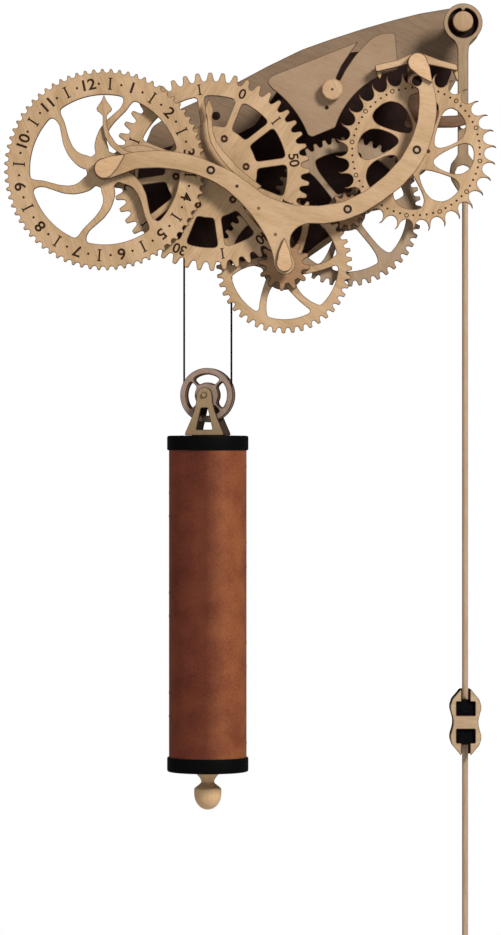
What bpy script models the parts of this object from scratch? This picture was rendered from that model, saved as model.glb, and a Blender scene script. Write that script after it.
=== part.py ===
"""Weight-driven wall clock with laser-cut plywood wheels, a paper-tube weight and a pendulum.

Lengths are in millimetres and become metres when a mesh is made. X runs to the right, Z up, and
the wall is the plane y = 0, so every piece lies at negative y. Clock angles run clockwise from
twelve o'clock, in degrees, as seen from the front.
"""

import math

import bmesh
import bpy
from mathutils import Vector
from mathutils.geometry import tessellate_polygon

MM = 0.001
GAP = 0.3  # between pieces that touch

# ------------------------------------------------------------------ layers, (front y, back y)
CAP_LAYER = (-103.3, -100.3)
FRAME_LAYER = (-100.0, -94.0)
POINTER_LAYER = (-93.7, -91.3)
HOUR_LAYER = (-91.0, -86.0)
HOUR_PINION_LAYER = (-91.0, -84.3)
ANCHOR_LAYER = (-91.0, -86.0)
PALLET_LAYER = (-85.7, -79.3)
MINUTE_LAYER = (-84.0, -79.0)
ESCAPE_LAYER = (-84.0, -79.0)
LOWER_PINION_LAYER = (-84.0, -77.3)
LOWER_LAYER = (-77.0, -72.0)
UPPER_PLATE_LAYER = (-77.7, -72.7)
THIRD_PINION_LAYER = (-77.0, -70.3)
THIRD_LAYER = (-70.0, -65.0)
ESCAPE_PINION_LAYER = (-70.0, -65.0)
CAGE_DISC_LAYER = (-64.0, -59.3)
RATCHET_LAYER = (-59.0, -55.5)
DRUM_LAYER = (-55.2, -39.3)
DRUM_FLANGE_LAYER = (-39.0, -35.5)
CRUTCH_LAYER = (-53.0, -48.0)
HANGER_LAYER = (-46.0, -41.0)
BOB_FRONT_LAYER = (-56.0, -53.0)
BOB_CHEEK_LAYER = (-52.7, -38.3)
BOB_WEIGHT_LAYER = (-52.7, -46.4)
BOB_BACK_LAYER = (-38.0, -35.0)
WOUND_CORD_LAYER = (-55.0, -46.2)
PEG_HEAD_LAYER = (-86.0, -78.0)
BACK_LAYER = (-8.0, 0.0)

# ------------------------------------------------------------------ arbors and bores
ARBOR_RADIUS = 2.4
BORE_RADIUS = ARBOR_RADIUS + GAP
ARBOR_SIDES = 12
ARBOR_FRONT = -99.7
ARBOR_BACK = BACK_LAYER[0] - GAP   # a fixed arbor butts on the back plate
COLLAR_RADIUS = 8.0

# ------------------------------------------------------------------ gear train
HOUR_MODULE = 2.2
HOUR_TEETH = 72
HOUR_PINION_LEAVES = 6
MINUTE_MODULE = 3.2
MINUTE_TEETH = 48
LOWER_MODULE = 2.36
LOWER_TEETH = 45
THIRD_MODULE = 2.45
THIRD_TEETH = 48
PINION_LEAVES = 12
ESCAPE_TEETH = 30
HOUR_TIP, HOUR_ROOT = 81.4, 78.3
MINUTE_TIP, MINUTE_ROOT = 80.2, 73.3
LOWER_TIP, LOWER_ROOT = 55.2, 50.9
THIRD_TIP, THIRD_ROOT = 60.9, 56.4
HOUR_PINION_TIP, HOUR_PINION_ROOT = 7.1, 4.0
LOWER_PINION_TIP, LOWER_PINION_ROOT = 21.2, 15.2
THIRD_PINION_TIP, THIRD_PINION_ROOT = 15.8, 11.5
ESCAPE_PINION_TIP, ESCAPE_PINION_ROOT = 16.4, 12.0
WHEEL_SHARE = 0.47   # of the pitch, taken up by a wheel's tooth at the pitch circle
PINION_SHARE = 0.40  # and by a pinion's leaf

ESCAPE_TIP = 65.0
ESCAPE_GULLET = 55.3


def at(clock, radius, centre=(0.0, 0.0)):
    """The point at a clock angle and a distance from a centre."""
    turn = math.radians(clock)
    return (centre[0] + radius * math.sin(turn), centre[1] + radius * math.cos(turn))


def pitch_radius(module, teeth):
    return module * teeth / 2


MINUTE = (0.0, 0.0)
HOUR = at(-89.2, pitch_radius(HOUR_MODULE, HOUR_TEETH + HOUR_PINION_LEAVES), MINUTE)
LOWER = at(141.8, pitch_radius(MINUTE_MODULE, MINUTE_TEETH + PINION_LEAVES), MINUTE)
THIRD = at(49.2, pitch_radius(LOWER_MODULE, LOWER_TEETH + PINION_LEAVES), LOWER)
ESCAPE = at(49.4, pitch_radius(THIRD_MODULE, THIRD_TEETH + PINION_LEAVES), THIRD)
PALLET = (166.6, 86.6)

# clock angle of one tooth on each wheel
HOUR_TOOTH = 3.6
MINUTE_TOOTH = 22.0
LOWER_TOOTH = 4.6
THIRD_TOOTH = 4.5
ESCAPE_TOOTH = 3.2

# ------------------------------------------------------------------ pendulum
KNIFE = (206.3, 134.5)          # where the hanger's knife rests on its dowel
DOWEL_RADIUS = 8.3
DOWEL = (KNIFE[0], KNIFE[1] - DOWEL_RADIUS)
RING_RADIUS = 15.6
RING_HOLE = 12.3
RING_CENTRE = (KNIFE[0], KNIFE[1] - 9.9)
CRUTCH_PIN = (KNIFE[0], 45.1)
CRUTCH_PIN_RADIUS = 2.0
ROD_X = 208.0
ROD_RADIUS = 2.55
ROD_TOP = -8.4
ROD_BOTTOM = -643.0
ROD_Y = (HANGER_LAYER[0] + HANGER_LAYER[1]) / 2
BOB_CENTRE = (ROD_X, -448.0)

# ------------------------------------------------------------------ weight, cord and pulley
CORD_RADIUS = 0.8
DRUM_CORD_RADIUS = 16.4         # of the cord's middle on the drum
DRUM_CORE_RADIUS = DRUM_CORD_RADIUS - CORD_RADIUS - GAP
DRUM_FLANGE_RADIUS = 24.0
PULLEY = (-3.1, -40.0, -180.3)
PULLEY_YAW = -14.0              # degrees about the vertical
PULLEY_CORD_RADIUS = 20.05
PULLEY_RADIUS = 22.4
BRACKET_INNER, BRACKET_OUTER = 8.5, 11.5   # a bracket's two faces, from the pulley's middle
AXLE_HALF = 13.0
CAP_TOP = -213.6
CAP_DEPTH = 12.0
CAP_RADIUS = 33.4
CAP_WALL = 1.2
CAP_FLOOR = 2.5
TUBE_RADIUS = CAP_RADIUS - CAP_WALL - GAP
TUBE_WALL = 2.2
WEIGHT_BOTTOM = -489.3          # underside of the bottom cap
BALLAST_HEIGHT = 150.0
CORD_PEG = (-22.5, -30.0)
CORD_PEG_RADIUS = 2.5
CORD_PEG_FRONT = -40.0

# ------------------------------------------------------------------ finishes: colour, roughness
PALE_WOOD = ((0.66, 0.45, 0.25, 1.0), 0.55)
TAN_WOOD = ((0.55, 0.38, 0.22, 1.0), 0.6)
DARK_WOOD = ((0.30, 0.19, 0.11, 1.0), 0.6)
KRAFT = ((0.27, 0.10, 0.045, 1.0), 0.65)
BLACK = ((0.012, 0.012, 0.012, 1.0), 0.45)
LEAD = ((0.12, 0.12, 0.13, 1.0), 0.5)


# ==================================================================== building blocks
def clear_scene():
    for thing in list(bpy.data.objects):
        bpy.data.objects.remove(thing, do_unlink=True)


def finish_material(name, finish):
    colour, roughness = finish
    material = bpy.data.materials.new(name + "_material")
    material.use_nodes = True
    shader = material.node_tree.nodes["Principled BSDF"]
    shader.inputs["Base Color"].default_value = colour
    shader.inputs["Roughness"].default_value = roughness
    shader.inputs["Metallic"].default_value = 0.0
    return material


def solid(name, points, faces, finish, origin=(0, 0, 0), round_shape=False):
    """One closed mesh, with its object's origin at the given point."""
    start = Vector(origin)
    mesh = bpy.data.meshes.new(name)
    mesh.from_pydata([(Vector(p) - start) * MM for p in points], [], faces)
    work = bmesh.new()
    work.from_mesh(mesh)
    bmesh.ops.recalc_face_normals(work, faces=work.faces)
    work.to_mesh(mesh)
    work.free()
    if round_shape:
        mesh.shade_smooth()
        mesh.set_sharp_from_angle(angle=math.radians(40))
    mesh.materials.append(finish_material(name, finish))
    thing = bpy.data.objects.new(name, mesh)
    thing.location = start * MM
    bpy.context.collection.objects.link(thing)
    return thing


def extruded(loops, layer):
    """Points and faces of a flat outline with holes, between a front and a back plane."""
    front, back = layer
    flat = [point for loop in loops for point in loop]
    count = len(flat)
    triangles = tessellate_polygon([[Vector((x, z, 0)) for x, z in loop] for loop in loops])
    points = [(x, front, z) for x, z in flat] + [(x, back, z) for x, z in flat]
    faces = [tuple(t) for t in triangles]
    faces += [tuple(i + count for i in reversed(t)) for t in triangles]
    start = 0
    for loop in loops:
        size = len(loop)
        for i in range(size):
            a = start + i
            b = start + (i + 1) % size
            faces.append((a, b, b + count, a + count))
        start += size
    return points, faces


def plate(name, outline, holes, layer, finish, centre=(0, 0), round_shape=False):
    """A flat piece; centre is the (x, z) its object's origin stands at, on its layer's middle."""
    points, faces = extruded([outline] + list(holes), layer)
    origin = (centre[0], sum(layer) / 2, centre[1])
    return solid(name, points, faces, finish, origin, round_shape)


def circle(radius, centre=(0, 0), sides=24):
    return [at(360 * i / sides, radius, centre) for i in range(sides)]


def arc(centre, radius, start, end, steps):
    """Points on an arc between two clock angles, both ends included."""
    return [at(start + (end - start) * i / steps, radius, centre) for i in range(steps + 1)]


def rod(name, centre, radius, layer, finish=PALE_WOOD, sides=ARBOR_SIDES):
    return plate(name, circle(radius, centre, sides), [], layer, finish, centre, True)


def turned(name, profile, x, y, finish, sides=28, hollow=False):
    """A piece turned about a vertical axis from (radius, z) points, from the top down."""
    points = []
    for radius, z in profile:
        points += [(x + px, y + py, z) for px, py in circle(radius, sides=sides)]
    rings = len(profile)
    faces = []
    for ring in range(rings if hollow else rings - 1):
        upper = ring * sides
        lower = (ring + 1) % rings * sides
        for i in range(sides):
            j = (i + 1) % sides
            faces.append((upper + i, upper + j, lower + j, lower + i))
    if not hollow:
        faces.append(tuple(range(sides)))
        faces.append(tuple(range((rings - 1) * sides, rings * sides)))
    return solid(name, points, faces, finish, (x, y, profile[0][1]), True)


def cord(name, points):
    """A round cord along straight pieces between points."""
    curve = bpy.data.curves.new(name, "CURVE")
    curve.dimensions = "3D"
    curve.bevel_depth = CORD_RADIUS * MM
    curve.bevel_resolution = 2
    curve.use_fill_caps = True
    spline = curve.splines.new("POLY")
    spline.points.add(len(points) - 1)
    for slot, point in zip(spline.points, points):
        slot.co = (*(Vector(point) * MM), 1.0)
    curve.materials.append(finish_material(name, BLACK))
    thing = bpy.data.objects.new(name, curve)
    bpy.context.collection.objects.link(thing)
    return thing


def stand_on_pulley(thing):
    """Turns a piece built about the origin to the pulley's place and yaw."""
    thing.rotation_euler.z = math.radians(PULLEY_YAW)
    offset = thing.location.copy()
    offset.rotate(thing.rotation_euler)
    thing.location = Vector(PULLEY) * MM + offset


def join_with(thing, other):
    """Adds another closed mesh to a piece, so that both are one body."""
    union = thing.modifiers.new("join", "BOOLEAN")
    union.operation = "UNION"
    union.solver = "EXACT"
    union.object = other
    other.hide_render = True
    other.display_type = "WIRE"


# ==================================================================== wheels and pinions
def epicycloid_turn(pitch, rolling, radius):
    """Degrees by which a point of the epicycloid has turned when it reaches a radius."""
    reach = pitch + rolling
    cosine = (reach ** 2 + rolling ** 2 - radius ** 2) / (2 * rolling * reach)
    rolled = math.acos(max(-1.0, min(1.0, cosine)))
    centre = rolled * rolling / pitch
    x = reach * math.cos(centre) - rolling * math.cos(centre + rolled)
    y = reach * math.sin(centre) - rolling * math.sin(centre + rolled)
    return math.degrees(math.atan2(y, x))


def toothed(teeth, first, flank, centre):
    """An outline of equal teeth from one flank, (radius, half angle) from root to tip."""
    outline = []
    for i in range(teeth):
        middle = first + 360 * i / teeth
        outline += [at(middle - half, radius, centre) for radius, half in flank]
        outline += [at(middle + half, radius, centre) for radius, half in reversed(flank)]
    return outline


def wheel_outline(module, teeth, mate_teeth, first, tip, root, centre, foot=0.36):
    """Wheel teeth: epicycloid tips on the mating pinion's half circle, V-shaped gaps below.

    foot is a tooth's half width at its root, as a share of the pitch.
    """
    pitch = pitch_radius(module, teeth)
    rolling = pitch_radius(module, mate_teeth) / 2
    step = 360 / teeth
    half = step * WHEEL_SHARE / 2
    flank = [(root, step * foot), (pitch, half)]
    flank.append((tip, half - epicycloid_turn(pitch, rolling, tip)))
    return toothed(teeth, first, flank, centre)


def pinion_outline(module, leaves, mate_teeth, first, tip, root, centre):
    """Pinion leaves: radial flanks below the pitch circle and a rounded end above it."""
    pitch = pitch_radius(module, leaves)
    rolling = pitch_radius(module, mate_teeth) / 2
    step = 360 / leaves
    half = step * PINION_SHARE / 2
    shoulder = (pitch + tip) / 2
    flank = [(root, half * 0.9), (pitch, half)]
    flank.append((shoulder, half * 0.9 - epicycloid_turn(pitch, rolling, shoulder)))
    flank.append((tip, half * 0.3))
    return toothed(leaves, first, flank, centre)


def meshing_tooth(driver, driver_teeth, driver_first, mate, mate_teeth):
    """Clock angle of a mate's tooth that stands centred in the driver's gap."""
    bearing = math.degrees(math.atan2(mate[0] - driver[0], mate[1] - driver[1]))
    driver_part = (bearing - driver_first) * driver_teeth / 360
    mate_part = 0.5 - driver_part
    return bearing + 180 - mate_part * 360 / mate_teeth


def opening(centre, sides, turn, next_turn, outer, inner):
    """A window between two spokes.

    sides lists (radius, left edge, right edge) of a spoke as angles from its own bearing; the
    window runs from the right edge of the spoke at turn to the left edge of that at next_turn.
    """
    right = [at(turn + r, radius, centre) for radius, _, r in sides]
    left = [at(next_turn + l, radius, centre) for radius, l, _ in reversed(sides)]
    top_start = next_turn + sides[0][1]
    top_end = turn + sides[0][2]
    steps = max(2, round((top_start - top_end) / 9))
    outer_arc = arc(centre, outer, top_start - 2, top_end + 2, steps)
    low_start = turn + sides[-1][2]
    low_end = next_turn + sides[-1][1]
    inner_arc = arc(centre, inner, low_start + 4, low_end - 4, 2)
    return right + inner_arc + left + outer_arc


def windows(centre, count, first, sides, outer, inner):
    step = 360 / count
    return [opening(centre, sides, first + step * i, first + step * (i + 1), outer, inner)
            for i in range(count)]


def straight_sides(radii, widths, lead=0.0):
    """Spoke edges for half widths at radii; lead turns the hub end, in degrees."""
    outer, inner = radii[0], radii[-1]
    rows = []
    for radius, width in zip(radii, widths):
        half = math.degrees(math.asin(width / 2 / radius))
        share = (outer - radius) / (outer - inner)
        rows.append((radius, lead * share - half, lead * share + half))
    return rows


def hour_wheel():
    """The hour ring, on six spokes that sweep back to a broad hub."""
    outline = wheel_outline(HOUR_MODULE, HOUR_TEETH, HOUR_PINION_LEAVES, HOUR_TOOTH,
                            HOUR_TIP, HOUR_ROOT, HOUR, 0.40)
    spoke = [(59.6, -4.5, 4.5), (53.0, -4.5, 2.5), (48.0, -7.5, 0.8), (40.5, -17.0, -4.0),
             (32.5, -27.0, -11.0), (24.5, -37.5, -14.5), (18.0, -45.0, -12.0)]
    holes = windows(HOUR, 6, 18.6, spoke, 60.8, 14.6)
    holes.append(circle(BORE_RADIUS, HOUR, ARBOR_SIDES))
    return plate("hour_wheel", outline, holes, HOUR_LAYER, PALE_WOOD, HOUR)


def hour_pinion():
    first = meshing_tooth(HOUR, HOUR_TEETH, HOUR_TOOTH, MINUTE, HOUR_PINION_LEAVES)
    outline = pinion_outline(HOUR_MODULE, HOUR_PINION_LEAVES, HOUR_TEETH, first,
                             HOUR_PINION_TIP, HOUR_PINION_ROOT, MINUTE)
    bore = circle(BORE_RADIUS, MINUTE, ARBOR_SIDES)
    return plate("hour_pinion", outline, [bore], HOUR_PINION_LAYER, TAN_WOOD, MINUTE)


STUD_CIRCLE = 28.7
STUD_RADIUS = 2.4
STUDS = 6


def minute_wheel():
    """The minute wheel, with twelve straight spokes and six stud holes in its solid middle."""
    outline = wheel_outline(MINUTE_MODULE, MINUTE_TEETH, PINION_LEAVES, MINUTE_TOOTH,
                            MINUTE_TIP, MINUTE_ROOT, MINUTE)
    spoke = straight_sides((58.0, 38.6), (5.7, 5.7))
    holes = windows(MINUTE, 12, MINUTE_TOOTH, spoke, 61.0, 37.6)
    holes += [circle(STUD_RADIUS + GAP, at(MINUTE_TOOTH + 60 * i, STUD_CIRCLE), 10)
              for i in range(STUDS)]
    holes.append(circle(BORE_RADIUS, MINUTE, ARBOR_SIDES))
    return plate("minute_wheel", outline, holes, MINUTE_LAYER, PALE_WOOD, MINUTE)


def drive_cage():
    """The disc behind the minute wheel that carries the click, held off by six glued studs."""
    disc = plate("drive_cage", circle(34.0, MINUTE, 36),
                 [circle(BORE_RADIUS, MINUTE, ARBOR_SIDES)], CAGE_DISC_LAYER, TAN_WOOD, MINUTE)
    points = []
    faces = []
    stud_layer = (MINUTE_LAYER[0] + 0.1, sum(CAGE_DISC_LAYER) / 2)
    for i in range(STUDS):
        stud = circle(STUD_RADIUS, at(MINUTE_TOOTH + 60 * i, STUD_CIRCLE), 10)
        new_points, new_faces = extruded([stud], stud_layer)
        faces += [tuple(k + len(points) for k in face) for face in new_faces]
        points += new_points
    join_with(disc, solid("studs", points, faces, TAN_WOOD))
    return disc


def lower_wheel():
    outline = wheel_outline(LOWER_MODULE, LOWER_TEETH, PINION_LEAVES, LOWER_TOOTH,
                            LOWER_TIP, LOWER_ROOT, LOWER)
    spoke = straight_sides((40.5, 33.0, 25.0, 17.5), (5.0, 4.4, 4.6, 6.0), 17.0)
    holes = windows(LOWER, 6, 24.6, spoke, 43.3, 14.8)
    holes.append(circle(BORE_RADIUS, LOWER, ARBOR_SIDES))
    return plate("lower_wheel", outline, holes, LOWER_LAYER, PALE_WOOD, LOWER)


def third_wheel():
    outline = wheel_outline(THIRD_MODULE, THIRD_TEETH, PINION_LEAVES, THIRD_TOOTH,
                            THIRD_TIP, THIRD_ROOT, THIRD)
    spoke = straight_sides((45.0, 36.0, 18.0), (9.0, 5.2, 5.2))
    holes = windows(THIRD, 6, 21.0, spoke, 48.6, 15.5)
    holes.append(circle(BORE_RADIUS, THIRD, ARBOR_SIDES))
    return plate("third_wheel", outline, holes, THIRD_LAYER, TAN_WOOD, THIRD)


def pinion(name, centre, module, mate_teeth, driver, driver_first, tip, root, layer):
    first = meshing_tooth(driver, mate_teeth, driver_first, centre, PINION_LEAVES)
    outline = pinion_outline(module, PINION_LEAVES, mate_teeth, first, tip, root, centre)
    bore = circle(BORE_RADIUS, centre, ARBOR_SIDES)
    return plate(name, outline, [bore], layer, TAN_WOOD, centre)


def escape_outline():
    """Thin spikes that lean clockwise, with round gullets between them."""
    depth = ESCAPE_TIP - ESCAPE_GULLET
    left = [(0.0, -6.0), (0.10, -3.2), (0.36, -1.4), (0.68, -0.6), (1.0, 1.15)]
    right = [(1.0, 1.75), (0.68, 0.7), (0.36, 1.2), (0.10, 3.0)]
    outline = []
    for i in range(ESCAPE_TEETH):
        base = ESCAPE_TOOTH - 1.5 + 360 * i / ESCAPE_TEETH
        outline += [at(base + turn, ESCAPE_GULLET + depth * rise, ESCAPE)
                    for rise, turn in left + right]
    return outline


def escape_wheel():
    spoke = [(44.0, -4.0, 3.6), (38.0, -2.0, 4.4), (30.0, 0.8, 7.0), (23.0, 4.8, 12.5),
             (18.0, 5.0, 16.0)]
    holes = windows(ESCAPE, 8, 29.0, spoke, 47.2, 16.2)
    holes.append(circle(BORE_RADIUS, ESCAPE, ARBOR_SIDES))
    return plate("escape_wheel", escape_outline(), holes, ESCAPE_LAYER, PALE_WOOD, ESCAPE)


# ==================================================================== frame
def bores(*centres):
    return [circle(BORE_RADIUS, centre, ARBOR_SIDES) for centre in centres]


EYELET = (166.1, 71.9)
UPPER_POST = (60.0, 72.0)
PEG = (98.2, 66.5)
PEG_RADIUS = 3.0
PEG_HEAD_RADIUS = 8.7
EYELET_RADIUS = 3.9
WALL_SCREWS = ((20.0, 66.0), (135.0, 100.0), (88.0, -36.0))
WALL_SCREW_RADIUS = 2.3


def front_frame():
    """The bow-shaped front rail that holds every arbor's front end."""
    outline = arc(HOUR, 9.0, 150, 380, 7)
    outline += [(-69, 13.4), (-60, 15), (-42, 16.2), (-26, 14.8), (-9, 10.6), (1.5, 6), (16.5, -0.5),
                (31.5, -10.8), (43.5, -20), (55.5, -25), (68, -28), (87, -28.7), (106, -25.8),
                (125.5, -16.2), (141, -3.9), (153.8, 10.2), (161.6, 24.4), (166.7, 39.7),
                (168, 55.1)]
    outline += arc(EYELET, 5.2, 165, 360, 6)
    outline += arc(PALLET, 8.6, 210, 480, 7)
    outline += [(179, 71), (182, 57.7), (182.2, 45), (179.5, 29.4), (174.4, 14), (166.7, 1),
                (154, -13), (138.5, -24.7), (123, -34.6), (107.5, -40.6), (92, -43.2), (78, -42.8),
                (70, -45.7), (64.8, -51.5), (63.6, -58)]
    outline += arc(LOWER, 9.0, 42, 290, 8)
    outline += [(48.9, -64.8), (44.6, -54), (39.2, -45.2), (31.6, -34.6), (23, -25), (12.2, -15.4),
                (1.4, -8.8), (-11.5, -3.4), (-26.7, 0.4), (-42, 2), (-60, 1.2)]
    holes = bores(HOUR, MINUTE, LOWER, THIRD, ESCAPE, PALLET)
    holes.append(circle(EYELET_RADIUS, EYELET, ARBOR_SIDES))
    return plate("front_frame", outline, holes, FRAME_LAYER, PALE_WOOD)


def teardrop(name, centre, radius, tip):
    """A cap that covers an arbor's end: a circle drawn out to a point."""
    dx, dz = tip[0] - centre[0], tip[1] - centre[1]
    bearing = math.degrees(math.atan2(dx, dz))
    outline = arc(centre, radius, bearing + 72, bearing + 288, 12)
    outline.append(tip)
    return plate(name, outline, [], CAP_LAYER, PALE_WOOD, centre, True)


def upper_plate():
    """The sail-shaped plate above the train, with a curved slot from its top edge."""
    outline = [(45.6, 73), (47.5, 77), (51, 79)]
    outline += [(119.6, 106.2), (112.8, 96.6), (105.8, 86.3), (101.2, 76), (104.4, 74),
                (109, 83), (116.5, 94), (125.5, 104.5), (131, 109.4), (139, 112.8), (149.3, 113.2),
                (150.6, 100)]
    outline += arc(ESCAPE, 68.3, -12, -73, 7)
    outline += [(82, 28.6), (78.5, 30.2)]
    outline += arc(MINUTE, 84.2, 67.4, 36, 5)
    holes = [circle(PEG_RADIUS + GAP, centre, ARBOR_SIDES) for centre in (PEG, UPPER_POST)]
    return plate("upper_plate", outline, holes, UPPER_PLATE_LAYER, TAN_WOOD)


def hanging_peg():
    """A ten-sided head on a dowel that ties the upper plate to the back plate."""
    peg = plate("hanging_peg", circle(PEG_HEAD_RADIUS, PEG, 10), [], PEG_HEAD_LAYER, PALE_WOOD, PEG)
    shank_layer = (PEG_HEAD_LAYER[1] - 2.0, ARBOR_BACK)
    points, faces = extruded([circle(PEG_RADIUS, PEG, ARBOR_SIDES)], shank_layer)
    join_with(peg, solid("peg_shank", points, faces, PALE_WOOD))
    return peg


def back_plate():
    """The wing-shaped board against the wall, with three screw holes, behind every arbor."""
    outline = arc(HOUR, 8.5, 175, 375, 6)
    outline += [(-72, 16), (-58, 22), (-53, 34), (-49.6, 43), (-25.6, 58), (-12.3, 64),
                (24, 81.2), (45.7, 92.8), (74.7, 106.9), (100.4, 116), (126, 124.3), (149.3, 131),
                (172.5, 136.8), (195, 140.6)]
    outline += arc(DOWEL, 16.5, 5, 130, 6)
    outline += [(211, 108), (208, 97), (204, 84), (195, 68), (184, 40)]
    outline += arc(ESCAPE, 15.0, 80, 170, 4)
    outline += [(150, -9), (128, -28), (108, -45.6), (92, -57), (79, -66)]
    outline += arc(LOWER, 17.0, 80, 275, 8)
    outline += [(31.6, -71.3), (12, -70), (-6, -66.3), (-39, -51.4), (-60, -31), (-66, -14),
                (-70, 3)]
    holes = bores(PALLET) + [circle(WALL_SCREW_RADIUS, screw, 10) for screw in WALL_SCREWS]
    return plate("back_plate", outline, holes, BACK_LAYER, DARK_WOOD)


def hour_pointer():
    """A thin curved strip from the front frame to the hour numerals."""
    outline = [(-60, 9), (-70, 15.5), (-77, 23), (-81.5, 32), (-84, 42), (-85.2, 47), (-89, 49),
               (-90.2, 53), (-87.8, 56.5), (-87, 61), (-85.6, 56.5), (-83.2, 53), (-84.2, 49),
               (-82.4, 47), (-80.6, 42), (-77.4, 33), (-72.5, 26), (-64.5, 19.5), (-54, 14)]
    return plate("hour_pointer", outline, [], POINTER_LAYER, PALE_WOOD)


def minute_pointer():
    """A thin strip from the front frame to the minute numerals."""
    outline = [(34, -18), (24, -11), (12, -3), (3, 7), (-1.5, 18), (-3, 32), (-3.2, 46), (-4.4, 50),
               (-3, 54), (-1.6, 60), (-0.2, 54), (1.4, 50), (0, 46), (0.8, 32), (3.4, 19), (9, 9),
               (18, 1), (30, -7), (38, -14)]
    return plate("minute_pointer", outline, [], POINTER_LAYER, TAN_WOOD)


def build_frame():
    back_plate()
    front_frame()
    upper_plate()
    hanging_peg()
    rod("upper_plate_post", UPPER_POST, PEG_RADIUS, (UPPER_PLATE_LAYER[0] + 0.2, ARBOR_BACK))
    teardrop("cap_left", HOUR, 8.0, (-69.0, 12.6))
    teardrop("cap_middle", LOWER, 6.5, (59.2, -54.4))
    teardrop("cap_right", PALLET, 7.8, (178.6, 70.0))
    hour_pointer()
    minute_pointer()
    for name, centre in (("hour", HOUR), ("minute", MINUTE), ("lower", LOWER), ("third", THIRD),
                         ("escape", ESCAPE)):
        rod(name + "_arbor", centre, ARBOR_RADIUS, (ARBOR_FRONT, ARBOR_BACK))
    rod("pendulum_dowel", DOWEL, DOWEL_RADIUS, (HANGER_LAYER[0] - 0.5, ARBOR_BACK), TAN_WOOD, 20)
    rod("cord_peg", CORD_PEG, CORD_PEG_RADIUS, (CORD_PEG_FRONT, ARBOR_BACK), TAN_WOOD)


# ==================================================================== anchor and crutch
def anchor():
    """Two arms over the escape wheel, which rock on the pallet arbor."""
    outline = [(132.5, 85.5), (151, 89.8), (161.5, 94.6), (167, 95.4), (172, 94.6), (185, 89.8),
               (199, 86), (199.6, 81), (185, 84.3), (174.6, 86.4), (172.4, 82), (166.6, 79.8),
               (160.8, 82), (158.6, 86.4), (151, 84.3), (133.6, 80.2)]
    return plate("anchor", outline, bores(PALLET), ANCHOR_LAYER, PALE_WOOD, PALLET)


def crutch():
    """The arm on the pallet arbor, with the pin that works in the hanger's slot."""
    outline = arc(PALLET, 7.0, -65, 115, 6)
    outline += [(170.8, 70), (170.4, 47.2), (200, 48.2)]
    outline += arc(CRUTCH_PIN, 4.6, 20, 160, 4)
    outline += [(199, 38.6), (160, 38.2), (157.5, 41), (159, 47), (160.6, 70)]
    arm = plate("crutch", outline, bores(PALLET), CRUTCH_LAYER, TAN_WOOD, PALLET)
    points, faces = extruded([circle(CRUTCH_PIN_RADIUS, CRUTCH_PIN, 10)],
                             (sum(CRUTCH_LAYER) / 2, HANGER_LAYER[1] + 1.0))
    join_with(arm, solid("crutch_dowel", points, faces, TAN_WOOD))
    return arm


def build_anchor():
    anchor()
    plate("entry_pallet", [(132.5, 84.6), (137.8, 84.6), (138.4, 79), (137.2, 75.0), (136.2, 75.2),
                           (134.4, 78)], [], PALLET_LAYER, PALE_WOOD, PALLET)
    plate("exit_pallet", [(194.6, 84.4), (199.2, 84.4), (200.6, 79), (200.4, 73.4), (199.2, 73.2),
                          (197.2, 78.6)], [], PALLET_LAYER, PALE_WOOD, PALLET)
    rod("pallet_arbor", PALLET, ARBOR_RADIUS, (ARBOR_FRONT, -1.0))
    crutch()


# ==================================================================== pendulum
def hanger():
    """A ring with a small knife in its top, a slotted strip and a bulb for the rod."""
    x = KNIFE[0]
    outline = arc(RING_CENTRE, RING_RADIUS, -163, 163, 20)
    outline += [(x + 4.5, 15), (x + 8, 12.5), (x + 11.4, 8), (x + 12, 1), (x + 9.5, -6),
                (x + 5, -13), (x + 3, -17), (x - 2, -17), (x - 4, -13), (x - 8.5, -6),
                (x - 11, 1), (x - 10.6, 8), (x - 7.5, 12.5), (x - 4.5, 15)]
    hole_top = RING_CENTRE[1] + RING_HOLE
    knife = [(x - 2.2, hole_top - 0.3), (x - 0.6, KNIFE[1] + GAP), (x + 0.6, KNIFE[1] + GAP),
             (x + 2.2, hole_top - 0.3)]
    hole = arc(RING_CENTRE, RING_HOLE, 15, 345, 18) + knife
    pin_x, pin_z = CRUTCH_PIN
    half = CRUTCH_PIN_RADIUS + 0.4
    slot = arc((pin_x, pin_z + 4.6), half, -90, 90, 5) + arc((pin_x, pin_z - 4.6), half, 90, 270, 5)
    window = [(x - 6.5, 2), (x - 4.5, 6.5), (x, 8), (x + 4.5, 6.5), (x + 6.5, 2), (x + 4.5, -4),
              (x + 2, -6.5), (x - 2, -6.5), (x - 4.5, -4)]
    return plate("pendulum_hanger", outline, [hole, slot, window], HANGER_LAYER, TAN_WOOD, KNIFE)


BOB_QUARTER = ((7.6, 22.8), (10.9, 19.0), (12.6, 14.0), (12.6, 10.5), (11.1, 5.5), (10.3, 2.0))
BOB_TOP = (4.4, 26.8)
BOB_SLOT = 3.6       # half width of the slots that show the rod
BOB_WINDOW = 7.8     # half width of the windows that show the weights
BOB_WINDOW_LOW, BOB_WINDOW_HIGH = 5.4, 17.0
CHEEK_INNER = 8.6    # half the gap between the cheeks
WEIGHT_HALF = 8.2
WEIGHT_LOW, WEIGHT_HIGH = 3.5, 18.5


def about_bob(quarter):
    """A quarter's points, mirrored down and placed on the right of the bob's centre."""
    x, z = BOB_CENTRE
    upper = [(x + dx, z + dz) for dx, dz in quarter]
    lower = [(x + dx, z - dz) for dx, dz in reversed(quarter)]
    return upper + lower


def mirrored(outline):
    """The same outline on the bob's other side, in the reverse order."""
    return [(2 * BOB_CENTRE[0] - x, z) for x, z in reversed(outline)]


def bob_back_outline():
    """A lobe around each weight and a waist between them, drawn in to a flat top and foot."""
    right = about_bob((BOB_TOP,) + BOB_QUARTER)
    return right + mirrored(right)


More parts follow.
